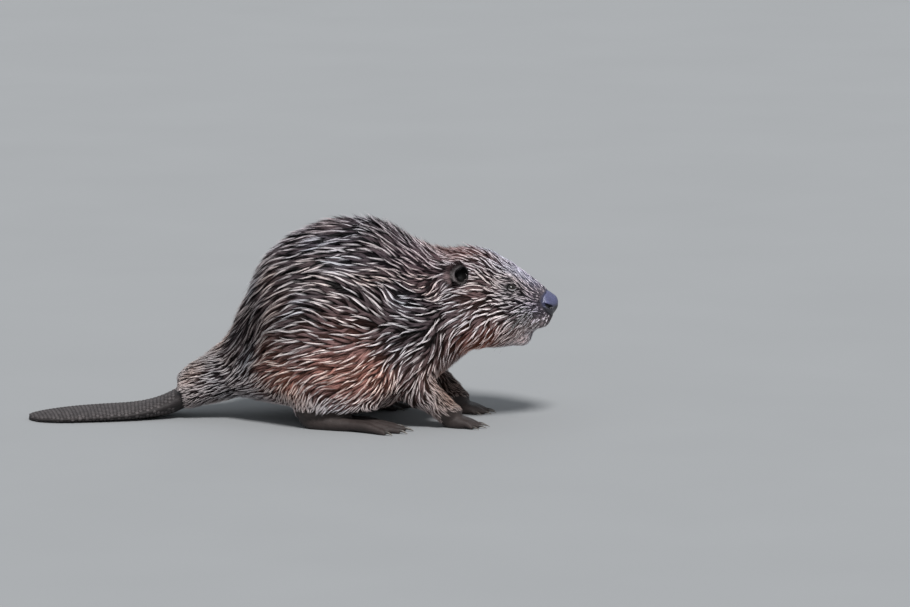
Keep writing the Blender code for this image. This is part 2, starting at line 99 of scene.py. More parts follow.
def waves(points, size, seed):  # soft noise of about -1 to 1, with bumps of that size
    dice = np.random.default_rng(seed)
    total = np.zeros(len(points))
    for _ in range(7):
        way = unit(dice.normal(size=3)) * 2 * math.pi / size * dice.uniform(0.5, 1.5)
        total += np.sin(points @ way + dice.uniform(0, 7))
    return total / 2.6


def meshFrom(name, points, faces):  # faces of equal length go in quickly
    points = np.ascontiguousarray(points, np.float32)
    faces = np.ascontiguousarray(faces, np.int32)
    mesh = bpy.data.meshes.new(name)
    mesh.vertices.add(len(points))
    mesh.vertices.foreach_set("co", points.ravel())
    mesh.loops.add(faces.size)
    mesh.loops.foreach_set("vertex_index", faces.ravel())
    mesh.polygons.add(len(faces))
    mesh.polygons.foreach_set("loop_start", np.arange(0, faces.size, faces.shape[1], dtype=np.int32))
    mesh.polygons.foreach_set("use_smooth", np.ones(len(faces), bool))
    mesh.update(calc_edges=True)
    return mesh


def addPiece(name, mesh, material=None):
    piece = bpy.data.objects.new(name, mesh)
    scene.collection.objects.link(piece)
    if material:
        mesh.materials.append(material)
    return piece


def readOut(items, key, width, kind=np.int32):
    flat = np.zeros(len(items) * width, kind)
    items.foreach_get(key, flat)
    return flat.reshape(-1, width)


def pointsOf(mesh):
    return readOut(mesh.vertices, "co", 3, np.float32).astype(float)


def normalsOf(mesh):
    return readOut(mesh.vertices, "normal", 3, np.float32).astype(float)


def edgesOf(mesh):
    return readOut(mesh.edges, "vertices", 2)


def trianglesOf(mesh):
    mesh.calc_loop_triangles()
    return readOut(mesh.loop_triangles, "vertices", 3)


def movePoints(mesh, points):
    mesh.vertices.foreach_set("co", points.astype(np.float32).ravel())
    mesh.update()


def paint(mesh, name, colours):  # one colour for each point
    layer = mesh.color_attributes.new(name, "FLOAT_COLOR", "POINT")
    rows = np.ones((len(colours), 4), np.float32)
    rows[:, :3] = colours
    layer.data.foreach_set("color", rows.ravel())


def shaped(mesh, *modifiers):  # the mesh after its modifiers, each a kind and its settings
    helper = addPiece("helper", mesh)
    for kind, settings in modifiers:
        modifier = helper.modifiers.new(kind.lower(), kind)
        for key, value in settings.items():
            setattr(modifier, key, value)
    graph = bpy.context.evaluated_depsgraph_get()
    graph.update()
    result = bpy.data.meshes.new_from_object(helper.evaluated_get(graph))
    bpy.data.objects.remove(helper)
    return result


def welded(node, levels=0):  # a node's mesh as one closed surface, rounder by so many levels
    bm = bmesh.new()
    bm.from_mesh(nodes[node].data)
    bmesh.ops.remove_doubles(bm, verts=bm.verts[:], dist=1e-5)
    mesh = bpy.data.meshes.new(node + "Copy")
    bm.to_mesh(mesh)
    bm.free()
    if levels:
        mesh = shaped(mesh, ("SUBSURF", {"levels": levels, "render_levels": levels}))
    mesh.polygons.foreach_set("use_smooth", np.ones(len(mesh.polygons), bool))
    return mesh


# How the coat lies. Each entry is a place on the left side (behind the nose tip, out to the
# side, above the floor), the way the hair points there, a lock's length and the coat's depth in mm.
combing = {
    "noseTip": ((0.002, 0, 0.175), (-1, 0, 0.4), 4, 0.2),
    "noseSide": ((0.013, 0.018, 0.176), (-1, 0.2, 0.2), 4, 0.4),
    "noseBridge": ((0.022, 0, 0.195), (-1, 0, 0.6), 6, 1.2),
    "snout": ((0.045, 0.018, 0.207), (-1, 0.1, 0.6), 13, 1.9),
    "foreheadLow": ((0.062, 0, 0.228), (-1, 0, 0.65), 17, 2.8),
    "forehead": ((0.085, 0, 0.243), (-1, 0, 0.6), 22, 4.2),
    "foreheadSide": ((0.09, 0.036, 0.232), (-1, 0.1, 0.75), 24, 4.4),
    "crown": ((0.12, 0, 0.255), (-1, 0, 0.35), 22, 6.5),
    "crownSide": ((0.122, 0.042, 0.244), (-1, 0.1, 0.5), 22, 5.5),
    "nape": ((0.175, 0, 0.255), (-1, 0, 0.2), 26, 8),
    "napeSide": ((0.18, 0.055, 0.242), (-1, 0.1, 0.15), 28, 8),
    "withers": ((0.235, 0, 0.275), (-1, 0, 0.65), 32, 10),
    "withersSide": ((0.24, 0.06, 0.26), (-1, 0.1, 0.6), 34, 10),
    "hump": ((0.315, 0, 0.301), (-1, 0, 0), 38, 11),
    "humpSide": ((0.32, 0.07, 0.272), (-1, 0.05, -0.12), 40, 11),
    "shoulderHigh": ((0.27, 0.092, 0.245), (-1, 0.1, 0), 38, 11),
    "loin": ((0.375, 0, 0.284), (-1, 0, -0.5), 40, 12),
    "loinHigh": ((0.375, 0.06, 0.262), (-1, 0.05, -0.5), 40, 12),
    "croup": ((0.43, 0, 0.235), (-0.8, 0, -1), 36, 12),
    "rump": ((0.475, 0, 0.15), (-0.35, 0, -1), 30, 10),
    "whiskerPad": ((0.032, 0.038, 0.165), (-1, 0.25, 0), 8, 1.6),
    "padLow": ((0.04, 0.036, 0.148), (-0.9, 0.2, -0.7), 8, 1.6),
    "upperLip": ((0.022, 0.024, 0.148), (-0.8, 0.2, -0.8), 5, 1.3),
    "lipFront": ((0.01, 0.006, 0.152), (-0.3, 0.2, -1), 4, 1.1),
    "eyeFront": ((0.045, 0.04, 0.188), (-1, 0.2, 0.35), 16, 2.2),
    "eyeBehind": ((0.078, 0.051, 0.203), (-1, 0.1, 0.15), 15, 2),
    "eyeOver": ((0.063, 0.042, 0.214), (-1, 0.05, 0.5), 13, 1.8),
    "eyeBelow": ((0.062, 0.05, 0.191), (-1, 0.15, -0.05), 14, 1.8),
    "underEye": ((0.068, 0.053, 0.179), (-1, 0.2, -0.08), 24, 3.6),
    "cheekFront": ((0.062, 0.05, 0.168), (-1, 0.25, -0.22), 26, 4.2),
    "cheek": ((0.098, 0.068, 0.174), (-1, 0.1, -0.52), 32, 6.5),
    "cheekHigh": ((0.1, 0.066, 0.192), (-1, 0.1, -0.12), 30, 5.5),
    "lipCorner": ((0.064, 0.042, 0.148), (-0.9, 0.1, -1), 23, 4.6),
    "cheekLow": ((0.096, 0.055, 0.138), (-0.45, 0.1, -1.1), 24, 6),
    "jowl": ((0.13, 0.072, 0.15), (-1, 0, -0.95), 30, 7.5),
    "jowlLow": ((0.125, 0.055, 0.12), (-0.8, 0, -0.95), 28, 7.5),
    "chin": ((0.052, 0.012, 0.118), (-0.9, 0.1, -0.5), 10, 2.6),
    "underJaw": ((0.08, 0, 0.112), (-1, 0, -0.25), 16, 4.5),
    "throat": ((0.12, 0, 0.104), (-1, 0, -0.35), 24, 8),
    "temple": ((0.095, 0.055, 0.208), (-1, 0.1, 0.4), 22, 4.2),
    "belowEar": ((0.132, 0.072, 0.199), (-1, 0.1, -0.35), 24, 6),
    "behindEar": ((0.165, 0.078, 0.208), (-0.8, 0, -0.95), 26, 7),
    "aboveEar": ((0.16, 0.062, 0.238), (-1, 0.1, 0.15), 24, 7),
    "neckHigh": ((0.208, 0.088, 0.234), (-1, 0.05, 0.15), 30, 9),
    "neckSide": ((0.197, 0.095, 0.208), (-1, 0.05, -0.4), 30, 9),
    "neckLow": ((0.19, 0.095, 0.18), (-1, 0.05, -0.15), 32, 9),
    "shoulder": ((0.16, 0.09, 0.144), (-1, 0, -0.9), 34, 9),
    "shoulderBack": ((0.222, 0.11, 0.165), (-1, 0, 0.45), 36, 10),
    "flankFront": ((0.245, 0.112, 0.185), (-1, 0, 0.85), 40, 10),
    "flankHigh": ((0.28, 0.115, 0.205), (-1, 0.05, 0.75), 42, 11),
    "flankBack": ((0.325, 0.12, 0.208), (-1, 0.05, 0.4), 42, 11),
    "midFlank": ((0.335, 0.13, 0.175), (-1, 0, 0.28), 42, 11),
    "loinSide": ((0.357, 0.112, 0.205), (-1, 0.05, 0), 42, 12),
    "loinBack": ((0.4, 0.105, 0.198), (-1, 0.05, -0.85), 40, 12),
    "haunchHigh": ((0.38, 0.13, 0.172), (-1, 0, -0.55), 40, 12),
    "haunchFront": ((0.27, 0.132, 0.15), (-1, 0, -0.15), 40, 11),
    "flankEdge": ((0.25, 0.125, 0.136), (-1, 0, -0.6), 36, 10),
    "haunch": ((0.32, 0.142, 0.148), (-1, 0, 0.12), 40, 11),
    "haunchEdge": ((0.31, 0.145, 0.122), (-1, 0, -0.02), 36, 10),
    "haunchBack": ((0.39, 0.125, 0.125), (-1, 0, -0.3), 34, 10),
    "upperArm": ((0.205, 0.115, 0.11), (-1, 0, -0.6), 28, 8),
    "elbow": ((0.22, 0.108, 0.06), (-0.6, 0, -1), 23, 6),
    "forearm": ((0.17, 0.078, 0.045), (0.6, -0.2, -0.8), 14, 4),
    "innerArm": ((0.17, 0.045, 0.06), (0.3, -0.1, -1), 16, 4),
    "wrist": ((0.15, 0.062, 0.026), (1, 0, -0.5), 6, 1.6),
    "thighLow": ((0.31, 0.142, 0.075), (-1, 0, -0.3), 30, 9),
    "knee": ((0.265, 0.135, 0.08), (-0.8, 0, -0.5), 26, 8),
    "shin": ((0.3, 0.115, 0.04), (-0.7, 0, -0.7), 19, 4.5),
    "ankle": ((0.35, 0.1, 0.032), (-0.2, 0, -1), 9, 2.5),
    "rumpHigh": ((0.434, 0.08, 0.195), (-0.6, 0.05, -1), 36, 12),
    "rumpSide": ((0.445, 0.09, 0.15), (-0.4, 0.05, -1), 34, 11),
    "rumpLow": ((0.445, 0.07, 0.075), (-0.8, 0, -0.6), 24, 8),
    "belly": ((0.3, 0, 0.02), (-1, 0, 0), 27, 7),
    "bellySide": ((0.28, 0.07, 0.025), (-1, 0, -0.05), 26, 7),
    "chest": ((0.19, 0, 0.07), (-0.8, 0, -0.8), 26, 8),
    "tailRootTop": ((0.51, 0, 0.1), (-1, 0, -0.7), 20, 6),
    "tailRootSide": ((0.52, 0.055, 0.07), (-1, 0, -0.45), 20, 5),
    "tailRootUnder": ((0.5, 0, 0.035), (-1, 0, -0.1), 19, 4.5),
    "tailCollar": ((0.552, 0, 0.052), (-1, 0, -0.35), 9, 2),
    "tailCollarSide": ((0.552, 0.04, 0.038), (-1, 0, -0.2), 9, 2),
    "foreFoot": ((0.118, 0.062, 0.012), (1, 0, 0), 3, 0.2),
    "hindFoot": ((0.275, 0.1, 0.015), (1, 0.1, 0), 4, 0.2),
    "heel": ((0.355, 0.088, 0.012), (-0.4, 0, -1), 5, 0.6),
}


def onBothSides(entries):
    for (behind, out, up), *rest in entries:
        for side in (1, -1) if out else (1,):
            yield side, spot(behind, out, up, side), rest


combPlaces = np.array([place for _, place, _ in onBothSides(combing.values())])
combLies = unit(np.array([
    (rest[0][0], side * rest[0][1], rest[0][2]) for side, _, rest in onBothSides(combing.values())
]))
combSizes = np.array([rest[1:3] for _, _, rest in onBothSides(combing.values())]) * mm
combReach = 0.012  # an entry holds alone this far, before its neighbours mix in


def combAt(points):  # the lie, a lock's length and the coat's depth at each point
    lies = np.zeros((len(points), 3))
    sizes = np.zeros((len(points), 2))
    for start in range(0, len(points), 20000):
        part = points[start:start + 20000]
        away = ((part[:, None] - combPlaces[None]) ** 2).sum(axis=2)
        share = 1 / (away + combReach**2) ** 2.2
        share /= share.sum(axis=1, keepdims=True)
        lies[start:start + 20000] = share @ combLies
        sizes[start:start + 20000] = share @ combSizes
    return unit(lies), sizes[:, 0], sizes[:, 1]


# Markings shared by skin and coat: a place, how far it reaches, the hair's colour halfway and at
# the tip (a pale tip is partly a painted wet sheen), and how much of that colour it gives.
# The hair's colours at the root, halfway and at the tip. The near-black root and middle are partly the dark
# hair and partly painted shade in the gaps between locks. The pale tip is partly pale hair and partly a
# painted wet sheen of the sky.
hairRootAndShade = np.array((0.0012, 0.0010, 0.0011))
hairBodyAndShade = np.array((0.0030, 0.0023, 0.0027))
hairTipAndSheen = np.array((0.820, 0.740, 0.745))
markings = {
    "saddle": ((0.32, 0, 0.31), 0.085, (0.0055, 0.0045, 0.006), (0.4, 0.35, 0.395), 0.8),
    "neck": ((0.19, 0.05, 0.24), 0.045, (0.02, 0.014, 0.018), (0.58, 0.48, 0.51), 0.8),
    "crown": ((0.125, 0, 0.258), 0.044, (0.066, 0.025, 0.02), (0.52, 0.305, 0.285), 0.85),
    # The forehead's lavender tips, the bridge's blue-grey and the muzzle's blue-purple are partly a painted
    # reflection of the sky.
    "forehead": ((0.072, 0, 0.232), 0.038, (0.014, 0.012, 0.016), (0.95, 0.88, 0.96), 0.85),
    "muzzleAndSkySheen": ((0.032, 0.024, 0.168), 0.025, (0.002, 0.0018, 0.008), (0.54, 0.51, 0.66), 0.96),
    "bridgeAndSkySheen": ((0.038, 0, 0.21), 0.031, (0.12, 0.115, 0.155), (0.84, 0.8, 0.93), 0.88),
    "lips": ((0.022, 0.018, 0.143), 0.013, (0.08, 0.072, 0.076), (0.95, 0.9, 0.91), 0.85),
    # The chin is pale hair, made paler still as painted light against the shade under the head.
    "chin": ((0.048, 0.028, 0.129), 0.023, (0.46, 0.375, 0.385), (1, 0.93, 0.94), 0.94),
    "cheek": ((0.086, 0.06, 0.168), 0.038, (0.001, 0.0008, 0.0009), (1, 0.92, 0.94), 0.9),
    "temple": ((0.12, 0.065, 0.188), 0.022, (0.07, 0.034, 0.027), (0.82, 0.6, 0.53), 0.6),
    "throat": ((0.106, 0.044, 0.115), 0.034, (0.23, 0.08, 0.052), (0.98, 0.64, 0.54), 0.92),
    "chest": ((0.185, 0.03, 0.07), 0.06, (0.09, 0.042, 0.03), (0.55, 0.34, 0.27), 0.8),
    "flankLow": ((0.29, 0.13, 0.095), 0.048, (0.17, 0.072, 0.055), (0.9, 0.66, 0.57), 0.85),
    "haunchLow": ((0.38, 0.12, 0.09), 0.048, (0.155, 0.068, 0.053), (0.98, 0.77, 0.68), 0.8),
    "haunchMiddle": ((0.385, 0.13, 0.16), 0.035, (0.05, 0.028, 0.024), (0.85, 0.74, 0.7), 0.7),
    # The rump's near black is partly the dark fur there and partly painted shade over the back end.
    "rump": ((0.452, 0.09, 0.17), 0.1, (0.005, 0.0035, 0.0035), (0.062, 0.046, 0.042), 0.98),
    "tailRoot": ((0.52, 0, 0.07), 0.05, (0.036, 0.024, 0.02), (0.38, 0.29, 0.25), 0.8),
    "forearm": ((0.16, 0.07, 0.045), 0.04, (0.022, 0.014, 0.011), (0.33, 0.24, 0.2), 0.8),
    "eye": ((0.064, 0.048, 0.201), 0.014, (0.005, 0.004, 0.005), (0.26, 0.24, 0.27), 0.92),
    "tearLine": ((0.046, 0.036, 0.192), 0.008, (0.005, 0.004, 0.005), (0.12, 0.11, 0.13), 0.9),
}


def tintsAt(points):  # the hair's colour halfway and at the tip
    middle = np.tile(hairBodyAndShade, (len(points), 1))
    tip = np.tile(hairTipAndSheen, (len(points), 1))
    for place, reach, bodyTint, tipTint, amount in markings.values():
        nearest = np.min([
            ((points - spot(*place, side)) ** 2).sum(axis=1) for side in (1, -1)
        ], axis=0)
        share = amount * np.exp(-nearest / reach**2)[:, None]
        middle += (np.array(bodyTint) - middle) * share
        tip += (np.array(tipTint) - tip) * share
    warm = waves(points, 0.070, 5)[:, None] * np.array((0.12, 0.02, -0.05))
    return middle * (1 + warm), tip * (1 + 0.6 * warm)


# The skin: the flesh of the frame grown together, smoothed, and drawn in by the coat's depth.
skinPlan = {
    "voxel": 1.9 * mm,
    "grow": 0.6 * mm,  # closes the frame's thin cuts
    "smoothing": 60,
    "bareShare": 0.12,  # how much of the smoothing feet and tail get
    "triangles": 175000,
    "coarse": 0.06,  # share of them in the copy that the coat's unwrap is made on
    "eyeDepth": 0.9 * mm,  # the coat's depth round the eyes
}
furryNodes = ["trunk", "neck", "head", "lower_jaw", "tail_root", "nose", "eye_left", "eye_right"]
furryNodes += [f"{kind}_leg_{side}" for kind in ("fore", "hind") for side in sides]
bareNodes = ["tail"] + [f"{kind}_foot_{side}" for kind in ("fore", "hind") for side in sides]
earOut = {side: unit(np.array((0.46, 0.86 * sign, 0.10))) for side, sign in sides.items()}
eyeMiddle = {side: middleOf("eye_" + side) for side in sides}
earMiddle = {side: middleOf("ear_" + side) for side in sides}


def insideBox(points, node, margin):  # 1 inside a node's box, 0 beyond the margin
    low, high = (np.array(corner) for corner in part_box(node))
    away = np.maximum(np.maximum(low - points, points - high), 0).max(axis=1)
    return 1 - ease(away, 0, margin)


def relaxed(points, edges, share, rounds):  # each point moves towards its neighbours' middle
    degree = np.maximum(np.bincount(edges.ravel(), minlength=len(points)), 1)
    for _ in range(rounds):
        total = np.stack([
            np.bincount(edges[:, 0], points[edges[:, 1], axis], len(points))
            + np.bincount(edges[:, 1], points[edges[:, 0], axis], len(points))
            for axis in range(3)
        ], axis=1)
        points = points + (total / degree[:, None] - points) * (0.5 * share[:, None])
    return points


def growFlesh():
    bm = bmesh.new()
    for node in furryNodes + bareNodes:
        mesh = welded(node, 2 if node in bareNodes else 0)
        movePoints(mesh, pointsOf(mesh) + normalsOf(mesh) * skinPlan["grow"])
        bm.from_mesh(mesh)
    for side in sides:  # fills the ears' sockets, whose cups come later
        middle = Vector(earMiddle[side] - earOut[side] * 12 * mm)
        bmesh.ops.create_icosphere(bm, subdivisions=4, radius=15 * mm, matrix=Matrix.Translation(middle))
    mesh = bpy.data.meshes.new("flesh")
    bm.to_mesh(mesh)
    bm.free()
    return shaped(mesh, ("REMESH", {"mode": "VOXEL", "voxel_size": skinPlan["voxel"]}))


def makeBase():
    mesh = growFlesh()
    points = pointsOf(mesh)
    edges = edgesOf(mesh)
    bare = np.max([insideBox(points, node, 10 * mm) for node in bareNodes], axis=0)
    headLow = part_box("head")[0]
    onHead = ease(points[:, 0], headLow.x, headLow.x + 40 * mm) * (points[:, 2] > headLow.z)
    share = 1 - (1 - skinPlan["bareShare"]) * bare
    points = relaxed(points, edges, share * (1 - 0.5 * onHead), skinPlan["smoothing"])
    movePoints(mesh, points)
    depth = combAt(points)[2] * (1 - bare)
    for side in sides:
        depth += (skinPlan["eyeDepth"] - depth) * (1 - ease(fromEye(points, side), 6 * mm, 20 * mm))
    points = points - normalsOf(mesh) * depth[:, None]
    points = relaxed(points, edges, share * (1 - 0.7 * onHead), 14)
    movePoints(mesh, points)
    return mesh


# Nose: a bare pad wrapped round the front of the snout, with a comma of a nostril on each side.
nosePlan = {
    "middle": spot(0.009, 0, 0.1745),
    "radii": np.array((22.0, 30.5, 17.5)) * mm,
    "pitch": 30,
    "swell": 0.8 * mm,
    # pad: a painted blue glare of the sky over the pad's top, fading below its middle to the darker colour
    # under it
    "pad": (0.090, 0.094, 0.185),
    "under": (0.022, 0.020, 0.027),
    "glareFades": (-2 * mm, 6 * mm),  # below the pad's middle
    # the nostril's hole painted near black: painted shade in it
    "nostril": (0.003, 0.0025, 0.003),
    "comma": ((0.0105, 0.0155, 0.1700, 3.4), (0.0150, 0.0190, 0.1722, 3.0), (0.0205, 0.0205, 0.1750, 2.0)),
    "nostrilDepth": 4.0 * mm,
    "wing": 0.7 * mm,  # the raised edge round a nostril
    "groove": (1.1 * mm, 0.9 * mm, 0.180),  # its width and depth, down the middle from this height
    "rim": 0.7 * mm,  # how far the pad's edge sinks into the skin
    "tuck": 6 * mm,  # how far the skin under the pad draws back
}
pitch = math.radians(nosePlan["pitch"])
noseAxes = np.array((  # forwards, sideways and up, in the pad's own frame
    (math.cos(pitch), 0, -math.sin(pitch)), (0, 1, 0), (math.sin(pitch), 0, math.cos(pitch)),
))


def padReach(points):  # below 1 on the nose's pad
    seat = (points - nosePlan["middle"]) @ noseAxes.T / nosePlan["radii"]
    return np.linalg.norm(seat, axis=1) + 0.05 * waves(points, 0.012, 77)


# The pad's colour: a painted blue sky glare on top, fading to dark below its middle.
def padTintWithGlare(points):
    low = ease(nosePlan["middle"][2] - points[:, 2], *nosePlan["glareFades"])[:, None]
    return mixed(np.array(nosePlan["pad"]), np.array(nosePlan["under"]), low)


# The face: a finer mesh there, with the mouth's line, the cleft of the lip and the eye's bed.
facePlan = {
    "reach": 0.105,
    "mouth": ((0.010, 0.000, 0.1405), (0.020, 0.018, 0.1385), (0.045, 0.030, 0.1340), (0.068, 0.036, 0.1335)),
    "mouthWidth": 1.9 * mm,
    "mouthDepth": 3.2 * mm,
    "cleft": ((0.004, 0.000, 0.163), (0.007, 0.000, 0.152), (0.011, 0.000, 0.141)),
    "cleftWidth": 1.4 * mm,
    "cleftDepth": 1.6 * mm,
    "lip": (0.7, 4.5 * mm, 2.2 * mm),  # the soft lip's height in mm, its place beside the mouth, its width
    "squeeze": (0.23, (0.018, 0.052), (0.144, 0.160)),  # how much narrower, ending behind, starting above
    "bulge": (4.5 * mm, 0.1635, 0.0075, 0.017, (0.012, 0.032)),  # under the nose: how far, where, how wide
    "earRoom": (8.0 * mm, 11.5 * mm, 11 * mm),  # flat within, gone beyond, and how deep
    "eyeRoom": (4.2 * mm, 8.5 * mm, 3.2 * mm),
}


def fromLine(points, name, side=1):  # how far points are from one of the face's lines
    corners = [spot(*corner, side) for corner in facePlan[name]]
    nearest = np.full(len(points), 1e9)
    for start, end in zip(corners[:-1], corners[1:]):
        along = np.clip(dot(points - start, end - start) / dot(end - start, end - start), 0, 1)
        nearest = np.minimum(nearest, np.linalg.norm(points - start - along * (end - start), axis=1))
    return nearest


def fromEye(points, side):
    return np.linalg.norm(points - eyeMiddle[side], axis=-1)


def sculptFace(mesh):
    bm = bmesh.new()
    bm.from_mesh(mesh)
    reach = noseX - facePlan["reach"]
    edges = [edge for edge in bm.edges if edge.verts[0].co.x > reach and edge.verts[0].co.z > 0.09]
    bmesh.ops.subdivide_edges(bm, edges=edges, cuts=1, use_grid_fill=True, smooth=0.6)
    bmesh.ops.triangulate(bm, faces=bm.faces[:])
    bm.to_mesh(mesh)
    bm.free()
    points = pointsOf(mesh)
    onFace = (points[:, 0] > reach + 6 * mm) & (points[:, 2] > 0.095)
    points = relaxed(points, edgesOf(mesh), onFace * 0.6, 6)
    share, behind, up = facePlan["squeeze"]
    points[:, 1] *= 1 - share * ((1 - ease(noseX - points[:, 0], *behind)) * ease(points[:, 2], *up))
    high, middle, tall, wide, behind = facePlan["bulge"]
    front = np.exp(-((points[:, 2] - middle) / tall) ** 2 - (points[:, 1] / wide) ** 2)
    points[:, 0] += high * front * (1 - ease(noseX - points[:, 0], *behind))
    movePoints(mesh, points)
    push = np.zeros(len(points))
    for side in (1, -1):
        mouth = fromLine(points, "mouth", side)
        push = np.maximum(push, facePlan["mouthDepth"] * np.exp(-(mouth / facePlan["mouthWidth"]) ** 2))
        height, place, width = facePlan["lip"]
        push -= np.exp(-((mouth - place) / width) ** 2) * height * mm * (push < 0.3 * mm)
    cleft = fromLine(points, "cleft")
    push = np.maximum(push, facePlan["cleftDepth"] * np.exp(-(cleft / facePlan["cleftWidth"]) ** 2))
    points = points - normalsOf(mesh) * (push * onFace)[:, None]
    for side in sides:  # room for the ear's cup
        low, high, deep = facePlan["earRoom"]
        along = (points - earMiddle[side]) @ earOut[side]
        across = np.linalg.norm(points - earMiddle[side] - along[:, None] * earOut[side], axis=1)
        near = (1 - ease(across, low, high)) * (np.abs(along) < 20 * mm)
        points -= earOut[side] * (deep * near)[:, None]
    for side in sides:  # and for the eye
        low, high, deep = facePlan["eyeRoom"]
        away = fromEye(points, side)
        middle = eyeMiddle[side]
        inward = unit(np.array((middle[0] - 0.03, middle[1] * 0.2, middle[2] - 0.02)) - middle)
        points += inward * (deep * (1 - ease(away, low, high)))[:, None]
    movePoints(mesh, points)
    return mesh


base = sculptFace(makeBase())
base = shaped(base, ("DECIMATE", {"ratio": skinPlan["triangles"] / len(trianglesOf(base))}))
print("skin:", len(trianglesOf(base)), "triangles")


def alongLine(lines, t):  # values at shares t of each line
    place = np.clip(t, 0, 1) * (lines.shape[1] - 1)
    low = np.minimum(place.astype(int), lines.shape[1] - 2)
    rest = (place - low)[..., None]
    rows = np.arange(len(lines))[:, None, None]
    return mixed(lines[rows, low], lines[rows, low + 1], rest)


def surfaceOf(mesh):
    points = pointsOf(mesh)
    triangles = trianglesOf(mesh)
    tree = BVHTree.FromPolygons(points.tolist(), triangles.tolist())
    corners = normalsOf(mesh)[triangles]
    return {"points": points, "triangles": triangles, "tree": tree, "normals": unit(corners.mean(axis=1))}


skinSurface = surfaceOf(base)


def settled(points):  # the nearest places on the skin, its normals there, and the triangles
    places = np.empty_like(points)
    faces = np.empty(len(points), np.int64)
    for i, point in enumerate(points.tolist()):
        place, _, face, _ = skinSurface["tree"].find_nearest(point)
        places[i] = place
        faces[i] = face
    return places, skinSurface["normals"][faces], faces


# Materials. Constants sit on the shader's own inputs, and colour and bump come from nodes.
def newMaterial(name, inputs):
    material = bpy.data.materials.new(name)
    material.use_nodes = True
    tree = material.node_tree
    shader = tree.nodes["Principled BSDF"]
    for key, value in inputs.items():
        shader.inputs[key].default_value = value
    return material, tree, shader


def addNode(tree, kind, values=None, **settings):
    node = tree.nodes.new("ShaderNode" + kind)
    for key, value in settings.items():
        setattr(node, key, value)
    for key, value in (values or {}).items():
        if isinstance(value, bpy.types.NodeSocket):
            tree.links.new(value, node.inputs[key])
        else:
            node.inputs[key].default_value = value
    return node


def ramp(tree, factor, *stops):  # each stop a place from 0 to 1 and a grey or a colour
    node = addNode(tree, "ValToRGB", {"Fac": factor})
    elements = node.color_ramp.elements
    while len(elements) < len(stops):
        elements.new(0.5)
    for element, (place, colour) in zip(elements, stops):
        element.position = place
        element.color = (*colour, 1) if isinstance(colour, tuple) else (colour, colour, colour, 1)
    return node.outputs["Color"]


# Each finish: the shader's inputs, the textures that darken and lighten the painted tint, with the
# stops of each ramp, and how strongly and how far the first of them bumps the surface.
finishes = {
    "wetHair": {
        "shine": {"Roughness": 0.36, "IOR": 1.3, "Specular IOR Level": 0.12},
        "grains": [("Noise", {"Scale": 260.0, "Detail": 3.0}, (0.30, 0.82), (0.70, 1.15))],
    },
    "skin": {
        "shine": {"Roughness": 0.50, "IOR": 1.4, "Specular IOR Level": 0.25},
        "grains": [
            ("Noise", {"Scale": 900.0, "Detail": 4.0, "Roughness": 0.65}, (0.30, 0.60), (0.72, 1.35)),
            ("Noise", {"Scale": 60.0, "Detail": 3.0}, (0.30, 0.80), (0.70, 1.15)),
        ],
        "bump": (0.55, 1.2 * mm),
    },
    "nosePad": {  # leathery and finely pebbled
        "shine": {"Roughness": 0.36, "IOR": 1.6},
        "grains": [
            ("Voronoi", {"Scale": 950.0}, (0.10, 1.12), (0.75, 0.62)),
            ("Noise", {"Scale": 300.0, "Detail": 4.0}, (0.35, 0.85), (0.70, 1.12)),
        ],
        "bump": (0.45, -0.8 * mm),
    },
    "tailScale": {  # dry and horny
        "shine": {"Roughness": 0.55, "IOR": 1.45, "Specular IOR Level": 0.30},
        "grains": [("Noise", {"Scale": 700.0, "Detail": 4.0}, (0.30, 0.70), (0.70, 1.25))],
        "bump": (0.35, 0.6 * mm),
    },
    "claw": {  # streaked along its length
        "shine": {"Roughness": 0.44, "IOR": 1.54},
        "stretch": (60.0, 900.0, 300.0),
        "grains": [("Noise", {"Scale": 1.0, "Detail": 3.0}, (0.30, 0.70), (0.70, 1.25))],
        "bump": (0.3, 0.4 * mm),
    },
    "eye": {
        "shine": {"Roughness": 0.10, "IOR": 1.5},
        "grains": [("Noise", {"Scale": 1400.0, "Detail": 2.0}, (0.35, 0.70), (0.65, 1.30))],
    },
}


def makeFinish(name, shine, grains, bump=None, stretch=None):
    material, tree, shader = newMaterial(name, shine)
    colour = addNode(tree, "Attribute", attribute_name="tint").outputs["Color"]
    place = addNode(tree, "TexCoord").outputs["Object"]
    if stretch:
        place = addNode(tree, "Mapping", {"Vector": place, "Scale": stretch}).outputs["Vector"]
    heights = []
    for kind, settings, *stops in grains:
        texture = addNode(tree, "Tex" + kind, {"Vector": place, **settings})
        heights.append(texture.outputs["Distance" if kind == "Voronoi" else "Fac"])
        mix = addNode(tree, "Mix", {"Factor": 1.0}, data_type="RGBA", blend_type="MULTIPLY")
        tree.links.new(colour, mix.inputs["A"])
        tree.links.new(ramp(tree, heights[-1], *stops), mix.inputs["B"])
        colour = mix.outputs["Result"]
    tree.links.new(colour, shader.inputs["Base Color"])
    if bump:
        strength, distance = bump
        node = addNode(tree, "Bump", {"Height": heights[0], "Strength": strength, "Distance": distance})
        tree.links.new(node.outputs["Normal"], shader.inputs["Normal"])
    return material


materials = {name: makeFinish(name, **finish) for name, finish in finishes.items()}


def finishPiece(name, parts, material, replaced=()):  # parts: points, faces and tints
    offset = 0
    faces = []
    for points, corners, _ in parts:
        faces.append(corners + offset)
        offset += len(points)
    mesh = meshFrom(name, np.concatenate([part[0] for part in parts]), np.concatenate(faces))
    paint(mesh, "tint", np.concatenate([part[2] for part in parts]))
    piece = addPiece(name, mesh, materials[material])
    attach(piece, "root")
    if replaced:
        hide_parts(*replaced)
    return piece


